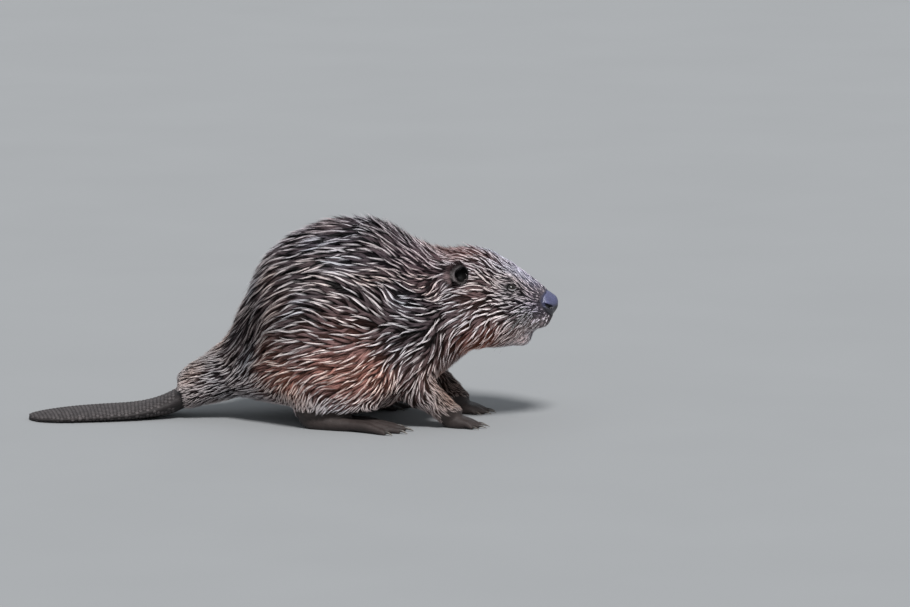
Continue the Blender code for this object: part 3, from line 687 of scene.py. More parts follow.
def gridFaces(rows, columns):  # triangles of rings of points, row by row
    across = np.arange(columns)
    faces = []
    for row in range(rows - 1):
        a = row * columns + across
        b = row * columns + (across + 1) % columns
        faces.append(np.stack([a, b, b + columns], axis=1))
        faces.append(np.stack([a, b + columns, a + columns], axis=1))
    return np.concatenate(faces)


def frameOf(axis):  # two directions across an axis: one level, pointing back, and one up
    back = unit(np.cross(axis, (0, 0, 1.0)))
    back = back if back[0] < 0 else -back
    up = unit(np.cross(back, axis))
    return back, up if up[2] > 0 else -up


# Ears: short round cups with a dark hollow, open to the front and out, and a furry rim behind.
earPlan = {
    "radius": 11.6 * mm,
    "profile": (  # share of the radius, height in mm from the hollow's floor to the skin outside
        (0.02, -11.0), (0.30, -10.5), (0.55, -8.0), (0.74, -5.0), (0.88, -2.0), (0.96, 0.1), (1.01, 0.8),
        (1.06, 0.9), (1.10, 0.0), (1.14, -2.0), (1.16, -5.0), (1.10, -9.0),
    ),
    "columns": 72,
    "backRise": 4.5 * mm,
    # inside: the hollow painted near black, as painted shade in it
    "inside": (0.0020, 0.0015, 0.0015),
    "rim": (0.200, 0.180, 0.180),
    "outside": (0.040, 0.030, 0.028),
    "fringe": (  # rows of short hair: share of the radius and height, how many, turn, lean, length in mm
        (((1.12, -9.0), (1.16, -7.0), (1.17, -5.0)), 60, (-1.1, 2.2), 0.9, (10, 16)),  # behind its foot
        (((1.17, -4.5), (1.14, -3.0), (1.10, -1.2), (1.05, 0.2)), 230, (0, 2 * math.pi), 0.10, (4.0, 7.0)),
        (((0.62, -7.0), (0.75, -4.8), (0.86, -2.4), (0.94, -0.6)), 46, (-0.9, 2.0), 0.45, (2.2, 3.4)),
    ),
}


def earSeat(side):  # the middle of the ear's rim
    axis = earOut[side]
    face = (pointsOf(nodes["ear_" + side].data) @ axis).max() - earMiddle[side] @ axis
    return earMiddle[side] + axis * (face - 1.2 * mm)


def earShape(turn, share, height):  # how much a place is behind, how far out it is and how high
    behind = np.clip(np.cos(turn) * 0.8 + np.sin(turn) * 0.45, 0, 1)  # most at the back and top
    reach = earPlan["radius"] * share * (1 + 0.05 * np.sin(turn * 3 + 1) + 0.08 * np.sin(turn))
    return behind, reach, height * mm + earPlan["backRise"] * behind * ease(share, 0.5, 1.0)


def makeEar(side):
    axis = earOut[side]
    back, up = frameOf(axis)
    middle = earSeat(side)
    turn = np.linspace(0, 2 * math.pi, earPlan["columns"], endpoint=False)
    rows, tints = [], []
    for share, height in earPlan["profile"]:
        behind, reach, lift = earShape(turn, share, height)
        lift = lift + 0.5 * mm * np.sin(turn * 5 + 2) * ease(share, 0.7, 1.0)
        rows.append(
            middle + back * (reach * np.cos(turn))[:, None] + up * (reach * np.sin(turn))[:, None]
            + axis * lift[:, None]
        )
        rim = (ease(share, 0.42, 0.80) * behind + ease(share, 0.9, 1.0) * 0.15) * (1 if share < 1.09 else 0.5)
        # inside the rim the hollow's near black is painted shade
        dark = np.array(earPlan["inside"] if share < 1.05 else earPlan["outside"])
        tints.append(dark + (np.array(earPlan["rim"]) - dark) * rim[:, None])
    return np.concatenate(rows), gridFaces(len(rows), len(turn)), np.concatenate(tints)


# Eyes: a glossy ball, and lids round an almond opening.
eyePlan = {
    "radius": 6.2 * mm,
    "opening": (4.9 * mm, 3.5 * mm),
    "columns": 64,
    "rows": (  # degrees outside the opening, and height over the ball in mm
        (-4, -0.5), (0, 0.15), (5, 0.55), (13, 0.65), (22, 0.35), (29, 0.05), (38, 0.45), (50, 0.7),
    ),
    "lid": (0.016, 0.013, 0.013),
    # the lower lid's pale rim, made paler as a painted wet highlight along its edge
    "lowerLidAndSheen": (0.480, 0.450, 0.460),
    "skirt": 10.5 * mm,
    "flatness": 0.86,  # the ball's depth
    "forward": 0.5 * mm,
    "pupil": (0.003, 0.0025, 0.0025),
    "iris": (0.011, 0.006, 0.004),
    "white": (0.012, 0.009, 0.008),
}
eyeOut = {}
for eyeSide in sides:
    eyeAway = fromEye(skinSurface["points"], eyeSide)
    eyeOut[eyeSide] = unit(normalsOf(base)[(eyeAway > 9 * mm) & (eyeAway < 15 * mm)].mean(axis=0))


def makeLids(side):
    axis = eyeOut[side]
    back, up = frameOf(axis)
    middle = eyeMiddle[side]
    turn = np.linspace(0, 2 * math.pi, eyePlan["columns"], endpoint=False)
    wide, high = eyePlan["opening"]
    lens = 1 / np.sqrt((np.cos(turn) / wide) ** 2 + (np.sin(turn) / high) ** 2)
    lens *= 1 + 0.10 * np.abs(np.cos(turn)) ** 6  # pointed corners
    opening = np.arcsin(np.clip(lens / eyePlan["radius"], 0, 0.95))
    around = back * np.cos(turn)[:, None] + up * np.sin(turn)[:, None]
    below = np.clip(-np.sin(turn), 0, 1) ** 0.5
    rows, tints = [], []
    for degrees, height in eyePlan["rows"]:
        angle = opening + math.radians(degrees)
        reach = eyePlan["radius"] + height * mm
        rows.append(
            middle + axis * (np.cos(angle) * reach)[:, None] + around * (np.sin(angle) * reach)[:, None]
        )
        # the pale crescent on the lower lid: partly its pale rim, partly a painted wet highlight
        pale = below * ease(degrees, -2, 3) * (1 - ease(degrees, 12, 22))
        lid, lowerLidAndSheen = np.array(eyePlan["lid"]), np.array(eyePlan["lowerLidAndSheen"])
        tints.append(lid + (lowerLidAndSheen - lid) * pale[:, None] * 0.8)
    skirt, out, _ = settled(middle + around * eyePlan["skirt"] + axis * 3 * mm)
    rows.append(rows[-1] * 0.45 + (skirt + out * 0.3 * mm) * 0.55)
    rows.append(skirt - out * 0.9 * mm)
    hairTint = tintsAt(skirt)[0]
    tints += [(tints[-1] + hairTint) / 2, hairTint]
    return np.concatenate(rows), gridFaces(len(rows), len(turn)), np.concatenate(tints)


def makeBall(middle, radii, axis, rings, columns):
    back, up = frameOf(axis)
    fall = np.linspace(0.02, math.pi - 0.02, rings)
    turn = np.linspace(0, 2 * math.pi, columns, endpoint=False)
    fall, turn = np.meshgrid(fall, turn, indexing="ij")
    flat = np.stack([np.cos(fall), np.sin(fall) * np.cos(turn), np.sin(fall) * np.sin(turn)], axis=-1)
    flat = flat.reshape(-1, 3)
    points = middle + flat * radii @ np.stack([axis, back, up])
    return points, gridFaces(rings, columns), flat


def makeEye(side):
    radii = eyePlan["radius"] * np.array((eyePlan["flatness"], 1, 1))
    middle = eyeMiddle[side] + eyeOut[side] * eyePlan["forward"]
    points, faces, flat = makeBall(middle, radii, eyeOut[side], 40, 64)
    angle = np.degrees(np.arccos(np.clip(flat[:, :1], -1, 1)))
    pupil, iris, white = (np.array(eyePlan[part]) for part in ("pupil", "iris", "white"))
    tint = mixed(mixed(pupil, iris, ease(angle, 13, 20)), white, ease(angle, 34, 42))
    finishPiece("eye" + side.title(), [(points, faces, tint)], "eye", ["eye_" + side])


def makeNose():
    reach = padReach(skinSurface["points"][skinSurface["triangles"]].mean(axis=1))
    used, faces = np.unique(skinSurface["triangles"][reach < 1.05], return_inverse=True)
    patch = meshFrom("pad", skinSurface["points"][used], faces.reshape(-1, 3))
    finer = {"levels": 2, "render_levels": 2, "subdivision_type": "SIMPLE"}
    patch = shaped(patch, ("SUBSURF", finer), ("TRIANGULATE", {}))
    points = relaxed(pointsOf(patch), edgesOf(patch), (padReach(pointsOf(patch)) < 0.97) * 1.0, 12)
    movePoints(patch, points)
    out = normalsOf(patch)
    hole, wing = np.zeros(len(points)), np.zeros(len(points))
    for side in (1, -1):
        corners = [spot(*seat[:3], side) for seat in nosePlan["comma"]]
        seats = settled(np.array(corners))[0]
        sizes = [seat[3] * mm for seat in nosePlan["comma"]]
        for share in np.linspace(0, 1, 13):
            seat = alongLine(seats[None], np.array([[[share]]]))[0, 0, 0]
            size = np.interp(share * 2, (0, 1, 2), sizes)
            away = np.linalg.norm(points - seat, axis=1) / size
            hole = np.maximum(hole, 1 - ease(away, 0.55, 1.05))
            wing = np.maximum(wing, np.exp(-((away - 1.6) / 0.45) ** 2))
    reach = padReach(points)
    wide, deep, top = nosePlan["groove"]
    groove = np.exp(-(points[:, 1] / wide) ** 2) * (points[:, 2] < top)
    rise = nosePlan["swell"] * (1 - ease(reach, 0.80, 1.0)) - nosePlan["rim"] * ease(reach, 0.93, 1.0)
    rise += -nosePlan["nostrilDepth"] * hole + nosePlan["wing"] * wing * (1 - hole) - deep * groove
    points = points + out * rise[:, None]
    # darker down the groove: painted shade in it
    tint = padTintWithGlare(points) * (1 - 0.4 * groove[:, None])
    # the nostrils' holes take the painted shade colour
    return points, trianglesOf(patch), mixed(tint, np.array(nosePlan["nostril"]), hole[:, None])


# Skin tints: the hair's own colours under the coat, darker where it is deep, and bare on the feet
# and tail.
bareTints = {"foot": (0.040, 0.031, 0.029), "tail": (0.026, 0.022, 0.022)}


def skinTints(points):
    body, tip = tintsAt(points)
    depth = combAt(points)[2]
    thin = 1 - ease(depth, 1.0 * mm, 5.0 * mm)
    tint = body * (0.35 + 0.75 * thin)[:, None] + (tip - body) * (0.03 * thin)[:, None]
    for node in bareNodes:
        inside = insideBox(points, node, 6 * mm)[:, None]
        bare = np.array(bareTints["tail" if node == "tail" else "foot"])
        tint = tint + (bare - tint) * inside
    for side in sides:  # dark round the eye
        tint *= (0.35 + 0.65 * ease(fromEye(points, side), 7 * mm, 13 * mm))[:, None]
    # the skin at the pad's edge takes the pad's colour, painted glare included
    tint += (padTintWithGlare(points) * 0.4 - tint) * (1 - ease(padReach(points), 1.0, 1.12))[:, None]
    # darker along the mouth's line: painted shade in its groove
    for side in (1, -1):
        tint *= (0.15 + 0.85 * ease(fromLine(points, "mouth", side), 0.6 * mm, 2.6 * mm))[:, None]
    return tint


fleshNodes = [n for n in furryNodes + bareNodes if not n.startswith("eye") and n != "nose"]
nosePart = makeNose()
underPad = 1 - ease(padReach(skinSurface["points"]), 0.72, 0.93)
tucked = skinSurface["points"] - normalsOf(base) * (nosePlan["tuck"] * underPad)[:, None]
skinParts = [(tucked, skinSurface["triangles"], skinTints(skinSurface["points"]))]
skinParts += [makeEar(side) for side in sides] + [makeLids(side) for side in sides]
finishPiece("skin", skinParts, "skin", fleshNodes + ["ear_left", "ear_right"])
finishPiece("nosePad", [nosePart], "nosePad", ["nose"])
for eyeSide in sides:
    makeEye(eyeSide)
print("skin, nose and eyes made")


# Claws: the frame's claws rounder, dark at the root and paler towards the tip.
clawPlan = {"levels": 2, "root": (0.022, 0.018, 0.016), "tip": (0.090, 0.075, 0.060)}


def makeClaws():
    for node in sorted(nodes):
        if "_claw_" not in node:
            continue
        kind, _, side, number = node.split("_")
        mesh = welded(node, clawPlan["levels"])
        points = pointsOf(mesh)
        along = ease(points[:, 0], points[:, 0].min(), points[:, 0].max())[:, None]
        tint = mixed(np.array(clawPlan["root"]), np.array(clawPlan["tip"]), along)
        name = f"{kind}Claw{side.title()}{number}"
        finishPiece(name, [(points, trianglesOf(mesh), tint)], "claw", [node])
    print("claws made")


makeClaws()


# The tail's scales: six-sided plates in rows along its bend, each tipped up a little at the back.
scalePlan = {
    "across": 6.2 * mm,
    "along": 5.4 * mm,
    "height": 0.75 * mm,
    "collar": 0.018,  # the hairy end of the tail keeps this free
    "tint": (0.058, 0.050, 0.050),
    "sizes": (0.90, 1.04),
    "shades": (0.75, 1.3),
}


def makeScale(seat, out, back, dice):  # a six-sided plate with a raised middle
    lie = unit(back - out * (back @ out))
    side = np.cross(out, lie)
    size = dice.uniform(*scalePlan["sizes"])
    seat = seat + lie * dice.uniform(-0.3, 0.3) * mm
    corner = np.arange(6) * math.pi / 3 + math.pi / 6
    flat = np.stack([np.cos(corner), np.sin(corner)], axis=1) * size
    flat = flat * (scalePlan["along"] * 0.62, scalePlan["across"] * 0.54)
    tilt = flat[:, :1] / scalePlan["along"]
    outer = seat + lie * flat[:, :1] + side * flat[:, 1:] + out * (tilt * 0.5 * mm - 0.5 * mm)
    inner = seat + lie * flat[:, :1] * 0.80 + side * flat[:, 1:] * 0.80
    inner = inner + out * (scalePlan["height"] * (0.75 + 0.5 * tilt))
    top = seat + out * scalePlan["height"] * 0.90
    shade = np.array(scalePlan["tint"]) * dice.uniform(*scalePlan["shades"])
    tint = np.concatenate([np.tile(shade * 0.35, (6, 1)), np.tile(shade, (7, 1))])
    return np.concatenate([outer, inner, top[None]]), tint


def makeScales():
    low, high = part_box("tail")
    points = skinSurface["points"]
    tail = points[(points[:, 0] < high.x) & (points[:, 2] < high.z + 10 * mm)]
    bins = np.linspace(low.x + 0.004, high.x - 0.004, 24)
    middles = []
    for x in bins:
        strip = tail[np.abs(tail[:, 0] - x) < 5 * mm]
        middles.append((strip[:, 1].min() + strip[:, 1].max()) / 2)
    bend = np.polyfit(bins, middles, 3)
    slope = np.polyder(bend)
    collar = high.x - scalePlan["collar"]
    dice = np.random.default_rng(4)
    plates = []
    tops = 0
    for row in range(60):
        x = collar - row * scalePlan["along"]
        if x < low.x - 0.02:
            break
        y = np.polyval(bend, max(x, low.x + 0.01))
        back = unit(np.array((-1.0, -np.polyval(slope, max(x, low.x + 0.01)), 0)))
        level = np.array((-back[1], back[0], 0))
        for column in range(-13, 14):
            shift = (column + 0.5 * (row % 2)) * scalePlan["across"]
            for upward in (1, -1):
                start = np.array((x, y, 0)) + level * shift + (0, 0, upward * 0.1)
                hit, _, face, _ = skinSurface["tree"].ray_cast(Vector(start), Vector((0, 0, -upward)))
                if hit is None or hit.z > high.z + 0.004 or hit.x > collar:
                    continue
                out = skinSurface["normals"][face]
                if abs(out[2]) < 0.35 or out[2] * upward < 0:
                    continue
                plates.append(makeScale(np.array(hit), out, back, dice))
                tops += upward > 0
    k = np.arange(6)
    n = (k + 1) % 6
    pattern = np.concatenate([
        np.stack([k, n, n + 6], axis=1), np.stack([k, n + 6, k + 6], axis=1),
        np.stack([k + 6, n + 6, np.full(6, 12)], axis=1),
    ])
    faces = (pattern[None] + np.arange(len(plates))[:, None, None] * 13).reshape(-1, 3)
    rows, tints = (np.concatenate(part) for part in zip(*plates))
    finishPiece("tailScales", [(rows, faces, tints)], "tailScale")
    print("scales:", tops, "on top,", len(plates) - tops, "underneath")


makeScales()


# Whiskers: thin, tapering and drooping, from rows on each side of the muzzle.
whiskerPlan = {
    "rows": 4,
    "columns": 6,
    "first": (0.020, 0.172),  # behind the nose tip and above the floor
    "apart": (0.0055, 0.0065),  # in a row, and between rows
    "length": (0.034, 0.0065),  # the first of a row, and how much longer each one behind it is
    "thickness": 0.24 * mm,
    "shades": (0.02, 0.45),
}


def makeWhiskers():
    dice = np.random.default_rng(8)
    (start, top), (along, down) = whiskerPlan["first"], whiskerPlan["apart"]
    first, more = whiskerPlan["length"]
    turn = np.arange(5) * 2 * math.pi / 5
    t = np.linspace(0, 1, 9)
    for side, sign in sides.items():
        parts = []
        for row in range(whiskerPlan["rows"]):
            for column in range(whiskerPlan["columns"]):
                behind = start + along * column + dice.uniform(-1, 1) * mm
                root = spot(behind, 0.045, top - down * row + 0.0008 * column, sign)
                root, out, _ = settled(root[None])
                length = (first + more * column) * dice.uniform(0.8, 1.15)
                way = unit(out[0] * 0.75 + np.array((-0.55 - 0.05 * column, 0.15 * sign, -0.10 - 0.08 * row)))
                line = root[0] - out[0] * mm + way * (t * length)[:, None]
                line += np.array((-0.25, 0, -0.45)) * (t**2 * length * dice.uniform(0.4, 0.8))[:, None]
                thick = whiskerPlan["thickness"] * (1 - 0.85 * t)
                back, up = frameOf(way)
                ring = back * np.cos(turn)[:, None] + up * np.sin(turn)[:, None]
                points = (line[:, None] + ring[None] * thick[:, None, None]).reshape(-1, 3)
                shade = dice.choice(whiskerPlan["shades"])
                parts.append((points, gridFaces(len(t), len(turn)), np.full((len(points), 3), shade)))
        finishPiece("whiskers" + side.title(), parts, "wetHair")
    print("whiskers made")


makeWhiskers()


# The coat: wet locks whose strands run together towards the tip, laid over one another from the
# nose back, with the tips of neighbouring locks drawn into bundles.
coatPlan = {
    "spacing": (1.3 * mm, 0.106),  # a start and the share of a lock's length
    "kinds": (  # shortest length, strands, rows along a strand
        (25 * mm, 9, 6), (16 * mm, 9, 5), (9 * mm, 7, 4), (0, 5, 3),
    ),
    "steps": 7,
    "swirl": ((0.090, 8), (0.028, 9), (0.012, 9)),  # size of a swirl and degrees it turns the hair
    "stray": 6,  # degrees a lock turns from its neighbours
    "bundle": 2.3,  # a bundle's size in lock spacings
    "drawn": 0.62,
    "ruffled": {  # places where tips stand off the body: the place, its reach and how many
        "hump": ((0.255, 0.000, 0.290), 0.062, 0.60),
        "crown": ((0.108, 0.000, 0.252), 0.034, 0.55),
        "nape": ((0.160, 0.000, 0.256), 0.034, 0.45),
    },
    "bareBelow": 0.9 * mm,  # no locks where the coat is thinner
    "free": {"eye": 6.0 * mm, "ear": 12.4 * mm, "mouth": 2.2 * mm},  # nor this near
    "apart": 0.84,  # the share of their spacing that locks keep between them
    "pale": (0.235, 0.40),  # the share of pale locks, and how much more where hair is short
    "brown": (0.18, 0.26),  # the share of brown ones, and how much more where hair is long
    "brownTint": (0.074, 0.056, 0.060),
    "plain": 0.015,
    "standing": 0.05,  # the share of locks whose tips stand off everywhere
    "lift": (1.2, 3.2),  # and how far, in mm
    "length": ((1.0, 1.45), (0.75, 1.0)),  # of a pale lock and of a dark one, as shares of the combed length
    "half": (0.33, 0.54),  # half their widths, in lock spacings
    "height": (1.0, 0.80, 0.68),  # of a pale, a brown and a dark lock: the dark ones lie underneath
    "tip": ((0.75, 1.15), (0, 0.006)),  # how much of the tip's colour a pale and a dark one take
    "patch": 0.003,  # a lock's size on the UV map
}


def turned(vectors, axes, angles):  # about unit axes, in radians
    cosine, sine = np.cos(angles)[:, None], np.sin(angles)[:, None]
    return vectors * cosine + np.cross(axes, vectors) * sine + axes * dot(axes, vectors) * (1 - cosine)


def lieOn(points, normals):  # the way the hair points along the skin
    lie, length, _ = combAt(points)
    lie = unit(lie - normals * dot(lie, normals))
    angle = np.zeros(len(points))
    for number, (size, degrees) in enumerate(coatPlan["swirl"]):
        angle += math.radians(degrees) * waves(points, size, 20 + number)
    return turned(lie, normals, angle * (0.35 + 0.65 * ease(length, 8 * mm, 24 * mm)))


def spacingAt(lengths):
    start, share = coatPlan["spacing"]
    return start + share * lengths


def treeOf(points):
    tree = KDTree(len(points))
    for i, point in enumerate(points.tolist()):
        tree.insert(point, i)
    tree.balance()
    return tree


def thinned(points, gaps, order):  # keeps points at least a gap apart
    tree = treeOf(points)
    gone = np.zeros(len(points), bool)
    kept = []
    for i in order:
        if gone[i]:
            continue
        kept.append(i)
        for _, j, _ in tree.find_range(points[i], gaps[i]):
            gone[j] = True
    return np.array(kept)


def fromEar(points, side):  # how far points are from the line through an ear's middle
    away = points - earMiddle[side]
    along = away @ earOut[side]
    across = np.linalg.norm(away - along[..., None] * earOut[side], axis=-1)
    return np.where(np.abs(along) < 25 * mm, across, 1.0)


def furredAt(points):  # False on feet, tail paddle, ears, eyes and nose
    _, _, depth = combAt(points)
    furred = depth > coatPlan["bareBelow"]
    for node in bareNodes:
        furred &= insideBox(points, node, 3 * mm) < 0.5
    for side, sign in sides.items():
        furred &= fromEye(points, side) > coatPlan["free"]["eye"]
        furred &= fromEar(points, side) > coatPlan["free"]["ear"]
        furred &= fromLine(points, "mouth", sign) > coatPlan["free"]["mouth"]
    furred &= padReach(points) > 0.985
    return furred & (points[:, 2] > 4 * mm)


def sowRoots():
    points, triangles = skinSurface["points"], skinSurface["triangles"]
    corners = points[triangles]
    middles = corners.mean(axis=1)
    across = np.cross(corners[:, 1] - corners[:, 0], corners[:, 2] - corners[:, 0])
    areas = np.linalg.norm(across, axis=1) / 2
    gaps = spacingAt(combAt(middles)[1])
    weights = areas / gaps**2 * furredAt(middles)
    count = int(weights.sum() * 7)
    chosen = rng.choice(len(middles), count, p=weights / weights.sum())
    share = rng.dirichlet((1, 1, 1), count)
    places = (corners[chosen] * share[:, :, None]).sum(axis=1)
    kept = thinned(places, gaps[chosen] * coatPlan["apart"], range(count))
    kept = kept[furredAt(places[kept])]
    return places[kept], skinSurface["normals"][chosen[kept]]


def marched(roots, normals, lengths):  # each lock's line along the skin
    lines, outs = [roots], [normals]
    turns = np.radians(rng.normal(0, coatPlan["stray"], len(roots)))
    for _ in range(coatPlan["steps"]):
        lie = turned(lieOn(lines[-1], outs[-1]), outs[-1], turns)
        places, out, _ = settled(lines[-1] + lie * (lengths / coatPlan["steps"])[:, None])
        lines.append(places)
        outs.append(unit(out + outs[-1]))
    return np.stack(lines, axis=1), np.stack(outs, axis=1)


def bundled(lines, roots, gaps):  # draws the tips of each bundle together
    order = rng.permutation(len(roots))
    heads = thinned(roots, gaps * coatPlan["bundle"], order)
    tree = treeOf(roots[heads])
    nearest = heads[[tree.find(root)[1] for root in roots.tolist()]]
    t = np.linspace(0, 1, lines.shape[1])
    pull = coatPlan["drawn"] * rng.uniform(0.5, 1.25, len(roots))[:, None] * t**1.5
    lines = lines + (lines[nearest] - lines) * pull[:, :, None]
    lines[:, 1:-1] = (lines[:, :-2] + lines[:, 1:-1] * 2 + lines[:, 2:]) / 4
    return lines


strandPlan = {
    "uneven": 0.12,
    "reach": (0.76, 1.0),  # shares of a lock's length
    "closed": 0.88,  # how far strands close up at the tip, and the share of that each one does
    "join": (0.70, 1.0),
    "wander": 0.35 * mm,
    "sunk": 0.5 * mm,  # their roots under the skin
    "hollow": 0.22,  # how much lower a lock's edges are than its middle
    "roll": (38, 14),  # degrees from the middle to the edge, and at random
    "width": 1.25,
    "leastWidth": 0.07 * mm,
}


def strandsOf(lock, strands, rows):  # points and tints: locks x strands x points x 3
    count = len(lock["length"])
    half, depth, lift = (lock[key][:, None, None] for key in ("half", "depth", "lift"))
    uneven = strandPlan["uneven"]
    across = np.linspace(-1, 1, strands)[None] + rng.uniform(-uneven, uneven, (count, strands))
    reach = rng.uniform(*strandPlan["reach"], (count, strands)) * (1 - 0.10 * across**2)
    t = np.append(np.linspace(0, 0.88, rows), 1.0)[None, None]
    place = t * reach[:, :, None]
    line = alongLine(lock["line"], place)
    out = unit(alongLine(lock["out"], place))
    ahead = alongLine(lock["line"], np.minimum(place + 0.08, 1)) - alongLine(lock["line"], place - 0.08)
    ahead = unit(ahead)
    side = unit(np.cross(out, ahead))
    join = rng.uniform(*strandPlan["join"], (count, strands))[:, :, None]
    spread = half * (1 - strandPlan["closed"] * join * ease(t, 0.05, 1.05))
    wander = strandPlan["wander"] * np.sin(rng.uniform(0, 6, (count, strands, 1)) + t * 5) * t
    height = depth * place**0.8
    height = height * (1 - strandPlan["hollow"] * across[:, :, None]**2 * (1 - t)) + lift * place**3
    height = height + rng.uniform(-uneven, uneven, (count, strands, 1)) * depth * t
    sideways = across[:, :, None] * spread + wander
    middle = line + side * sideways[..., None] + out * (height - strandPlan["sunk"] * (1 - t))[..., None]
    roll, stray = strandPlan["roll"]
    roll = np.radians(roll * across + rng.uniform(-stray, stray, (count, strands)))[:, :, None, None]
    flat = side * np.cos(roll) - out * np.sin(roll)
    wide = half / strands * strandPlan["width"] * (1 - ease(t, 0.50, 1.02))
    wide = np.maximum(wide, strandPlan["leastWidth"])
    left = middle - flat * wide[..., None]
    right = middle + flat * wide[..., None]
    pairs = np.stack([left[:, :, :-1], right[:, :, :-1]], axis=3).reshape(count, strands, rows * 2, 3)
    points = np.concatenate([pairs, middle[:, :, -1:]], axis=2)
    steps = np.append(np.repeat(t[0, 0, :-1], 2), 1.0)
    pale = (lock["pale"][:, None] * rng.uniform(0.7, 1.15, (count, strands)))[:, :, None, None]
    body, tip = lock["body"][:, None, None], lock["tip"][:, None, None]
    first = ease(steps, 0.04, 0.30)[None, None, :, None]
    last = ease(steps, 0.16, 0.52)[None, None, :, None]
    tint = mixed(hairRootAndShade, body, first)
    tint = tint + (tip - tint) * last * pale
    patch = np.stack(np.broadcast_arrays(
        (across / 2)[:, :, None] + np.append(np.tile((-0.5, 0.5), rows), 0) / strands,
        (steps - 0.5)[None, None],
    ), axis=-1) * coatPlan["patch"]
    return points, tint, patch


def strandFaces(rows):
    faces = []
    for k in range(rows - 1):
        a = 2 * k
        faces += [(a, a + 1, a + 3), (a, a + 3, a + 2)]
    return np.array(faces + [(2 * rows - 2, 2 * rows - 1, 2 * rows)])


regions = {  # tested in this order: the first that a lock's root lies in takes it
    "coatFace": lambda behind, out, up: (behind < 0.100) & (up > 0.135),
    "coatThroat": lambda behind, out, up: (behind < 0.160) & (up < 0.135) & (up > 0.07),
    "coatHead": lambda behind, out, up: behind < 0.160,
    "coatForelegs": lambda behind, out, up: (behind < 0.245) & (up < 0.115),
    "coatTailRoot": lambda behind, out, up: (behind > 0.480) & (up < 0.130),
    "coatNeck": lambda behind, out, up: behind < 0.225,
    "coatBelly": lambda behind, out, up: (up < 0.050) & (np.abs(out) < 0.095),
    "coatBack": lambda behind, out, up: up > 0.225,
    "coatFlankLeft": lambda behind, out, up: (behind < 0.330) & (out > 0),
    "coatFlankRight": lambda behind, out, up: behind < 0.330,
    "coatHaunchLeft": lambda behind, out, up: out > 0,
    "coatHaunchRight": lambda behind, out, up: out <= 0,
}


def unwrapped(roots):  # where each root lies on an unwrap of the skin under these locks
    low, high = roots.min(axis=0) - 8 * mm, roots.max(axis=0) + 8 * mm
    points, triangles = pointsOf(coarse), trianglesOf(coarse)
    middles = points[triangles].mean(axis=1)
    near = ((middles > low) & (middles < high)).all(axis=1)
    tree = treeOf(roots)
    near[near] = [tree.find(middle)[2] < 14 * mm for middle in middles[near].tolist()]
    used, faces = np.unique(triangles[near], return_inverse=True)
    patch = addPiece("unwrap", meshFrom("unwrap", points[used], faces.reshape(-1, 3)))
    bpy.context.view_layer.objects.active = patch
    patch.select_set(True)
    bpy.ops.object.mode_set(mode="EDIT")
    bpy.ops.mesh.select_all(action="SELECT")
    bpy.ops.uv.smart_project(angle_limit=math.radians(70), island_margin=0.004)
    bpy.ops.object.mode_set(mode="OBJECT")
    corners = readOut(patch.data.uv_layers[0].data, "uv", 2, np.float32).reshape(-1, 3, 2).astype(float)
    surface = BVHTree.FromPolygons(points[used].tolist(), faces.reshape(-1, 3).tolist())
    shape = points[used][faces.reshape(-1, 3)]
    spots = np.empty((len(roots), 2))
    for i, root in enumerate(roots.tolist()):
        place, _, face, _ = surface.find_nearest(root)
        a, b, c = shape[face]
        matrix = np.stack([b - a, c - a], axis=1)
        share, *_ = np.linalg.lstsq(matrix, np.array(place) - a, rcond=None)
        spots[i] = corners[face].T @ (1 - share.sum(), *share)
    bpy.data.objects.remove(patch)
    spots -= spots.min(axis=0)
    return 0.008 + 0.984 * spots / spots.max(axis=0)


def cutShort(line, out, length):  # locks end before they reach an ear's cup or an eye
    inside = np.zeros(line.shape[:2], bool)
    for side in sides:
        inside |= fromEar(line, side) < 12.2 * mm
        inside |= fromEye(line, side) < 5.5 * mm
    steps = line.shape[1] - 1
    first = np.where(inside.any(axis=1), inside.argmax(axis=1), steps + 0.5) - 0.5
    share = np.clip(first / steps, 0, 1)
    clear = share > 0.25
    t = (np.linspace(0, 1, steps + 1)[None] * share[:, None])[clear][:, None]
    line, out = alongLine(line[clear], t)[:, 0], alongLine(out[clear], t)[:, 0]
    return line, unit(out), length * share, clear


def earFringe(side):  # short hair up the ear's outside and over its rim, and thin hair inside
    axis = earOut[side]
    back, up = frameOf(axis)
    middle = earSeat(side)
    dice = np.random.default_rng(17)
    rows = []
    for places, count, turns, lean, lengths in earPlan["fringe"]:
        for share, height in places:
            turn, size = dice.uniform(*turns, count), dice.uniform(*lengths, count)
            rows.append(np.stack([turn, size, *np.full((3, count), [[share], [height], [lean]])]))
    turn, size, share, height, lean = np.concatenate(rows, axis=1)
    behind, reach, lift = earShape(turn, share, height)
    radial = back * np.cos(turn)[:, None] + up * np.sin(turn)[:, None]
    roots = middle + radial * reach[:, None] + axis * lift[:, None]
    swept = ease(size, 7, 10)[:, None]
    way = axis * (0.70 - 0.25 * swept) + back * (0.38 + 0.7 * swept) + radial * lean[:, None]
    way = unit(way + dice.normal(0, 0.10, (len(roots), 3)))
    t = np.linspace(0, 1, coatPlan["steps"] + 1)
    line = roots[:, None] + way[:, None] * (t[None] * size[:, None] * mm)[..., None]
    line += (back * 0.35 * mm) * (t**2)[None, :, None] * size[:, None, None] * 0.4
    rim = np.array(earPlan["rim"])
    pale = behind[:, None] * 0.9
    return {
        "roots": roots, "line": line, "out": np.repeat(radial[:, None], len(t), axis=1),
        "length": size * mm, "half": (0.30 + 0.7 * swept[:, 0]) * mm, "depth": np.full(len(roots), 0.3 * mm),
        "lift": np.zeros(len(roots)), "pale": dice.uniform(0.1, 0.6, len(roots)) + 0.35 * behind,
        "body": np.array((0.030, 0.022, 0.021)) * (1 + 2 * pale + 0.8 * swept),
        "tip": (rim * 1.6 + rim * 1.4 * pale) * (1 - np.array((0.25, 0.40, 0.38)) * swept),
    }


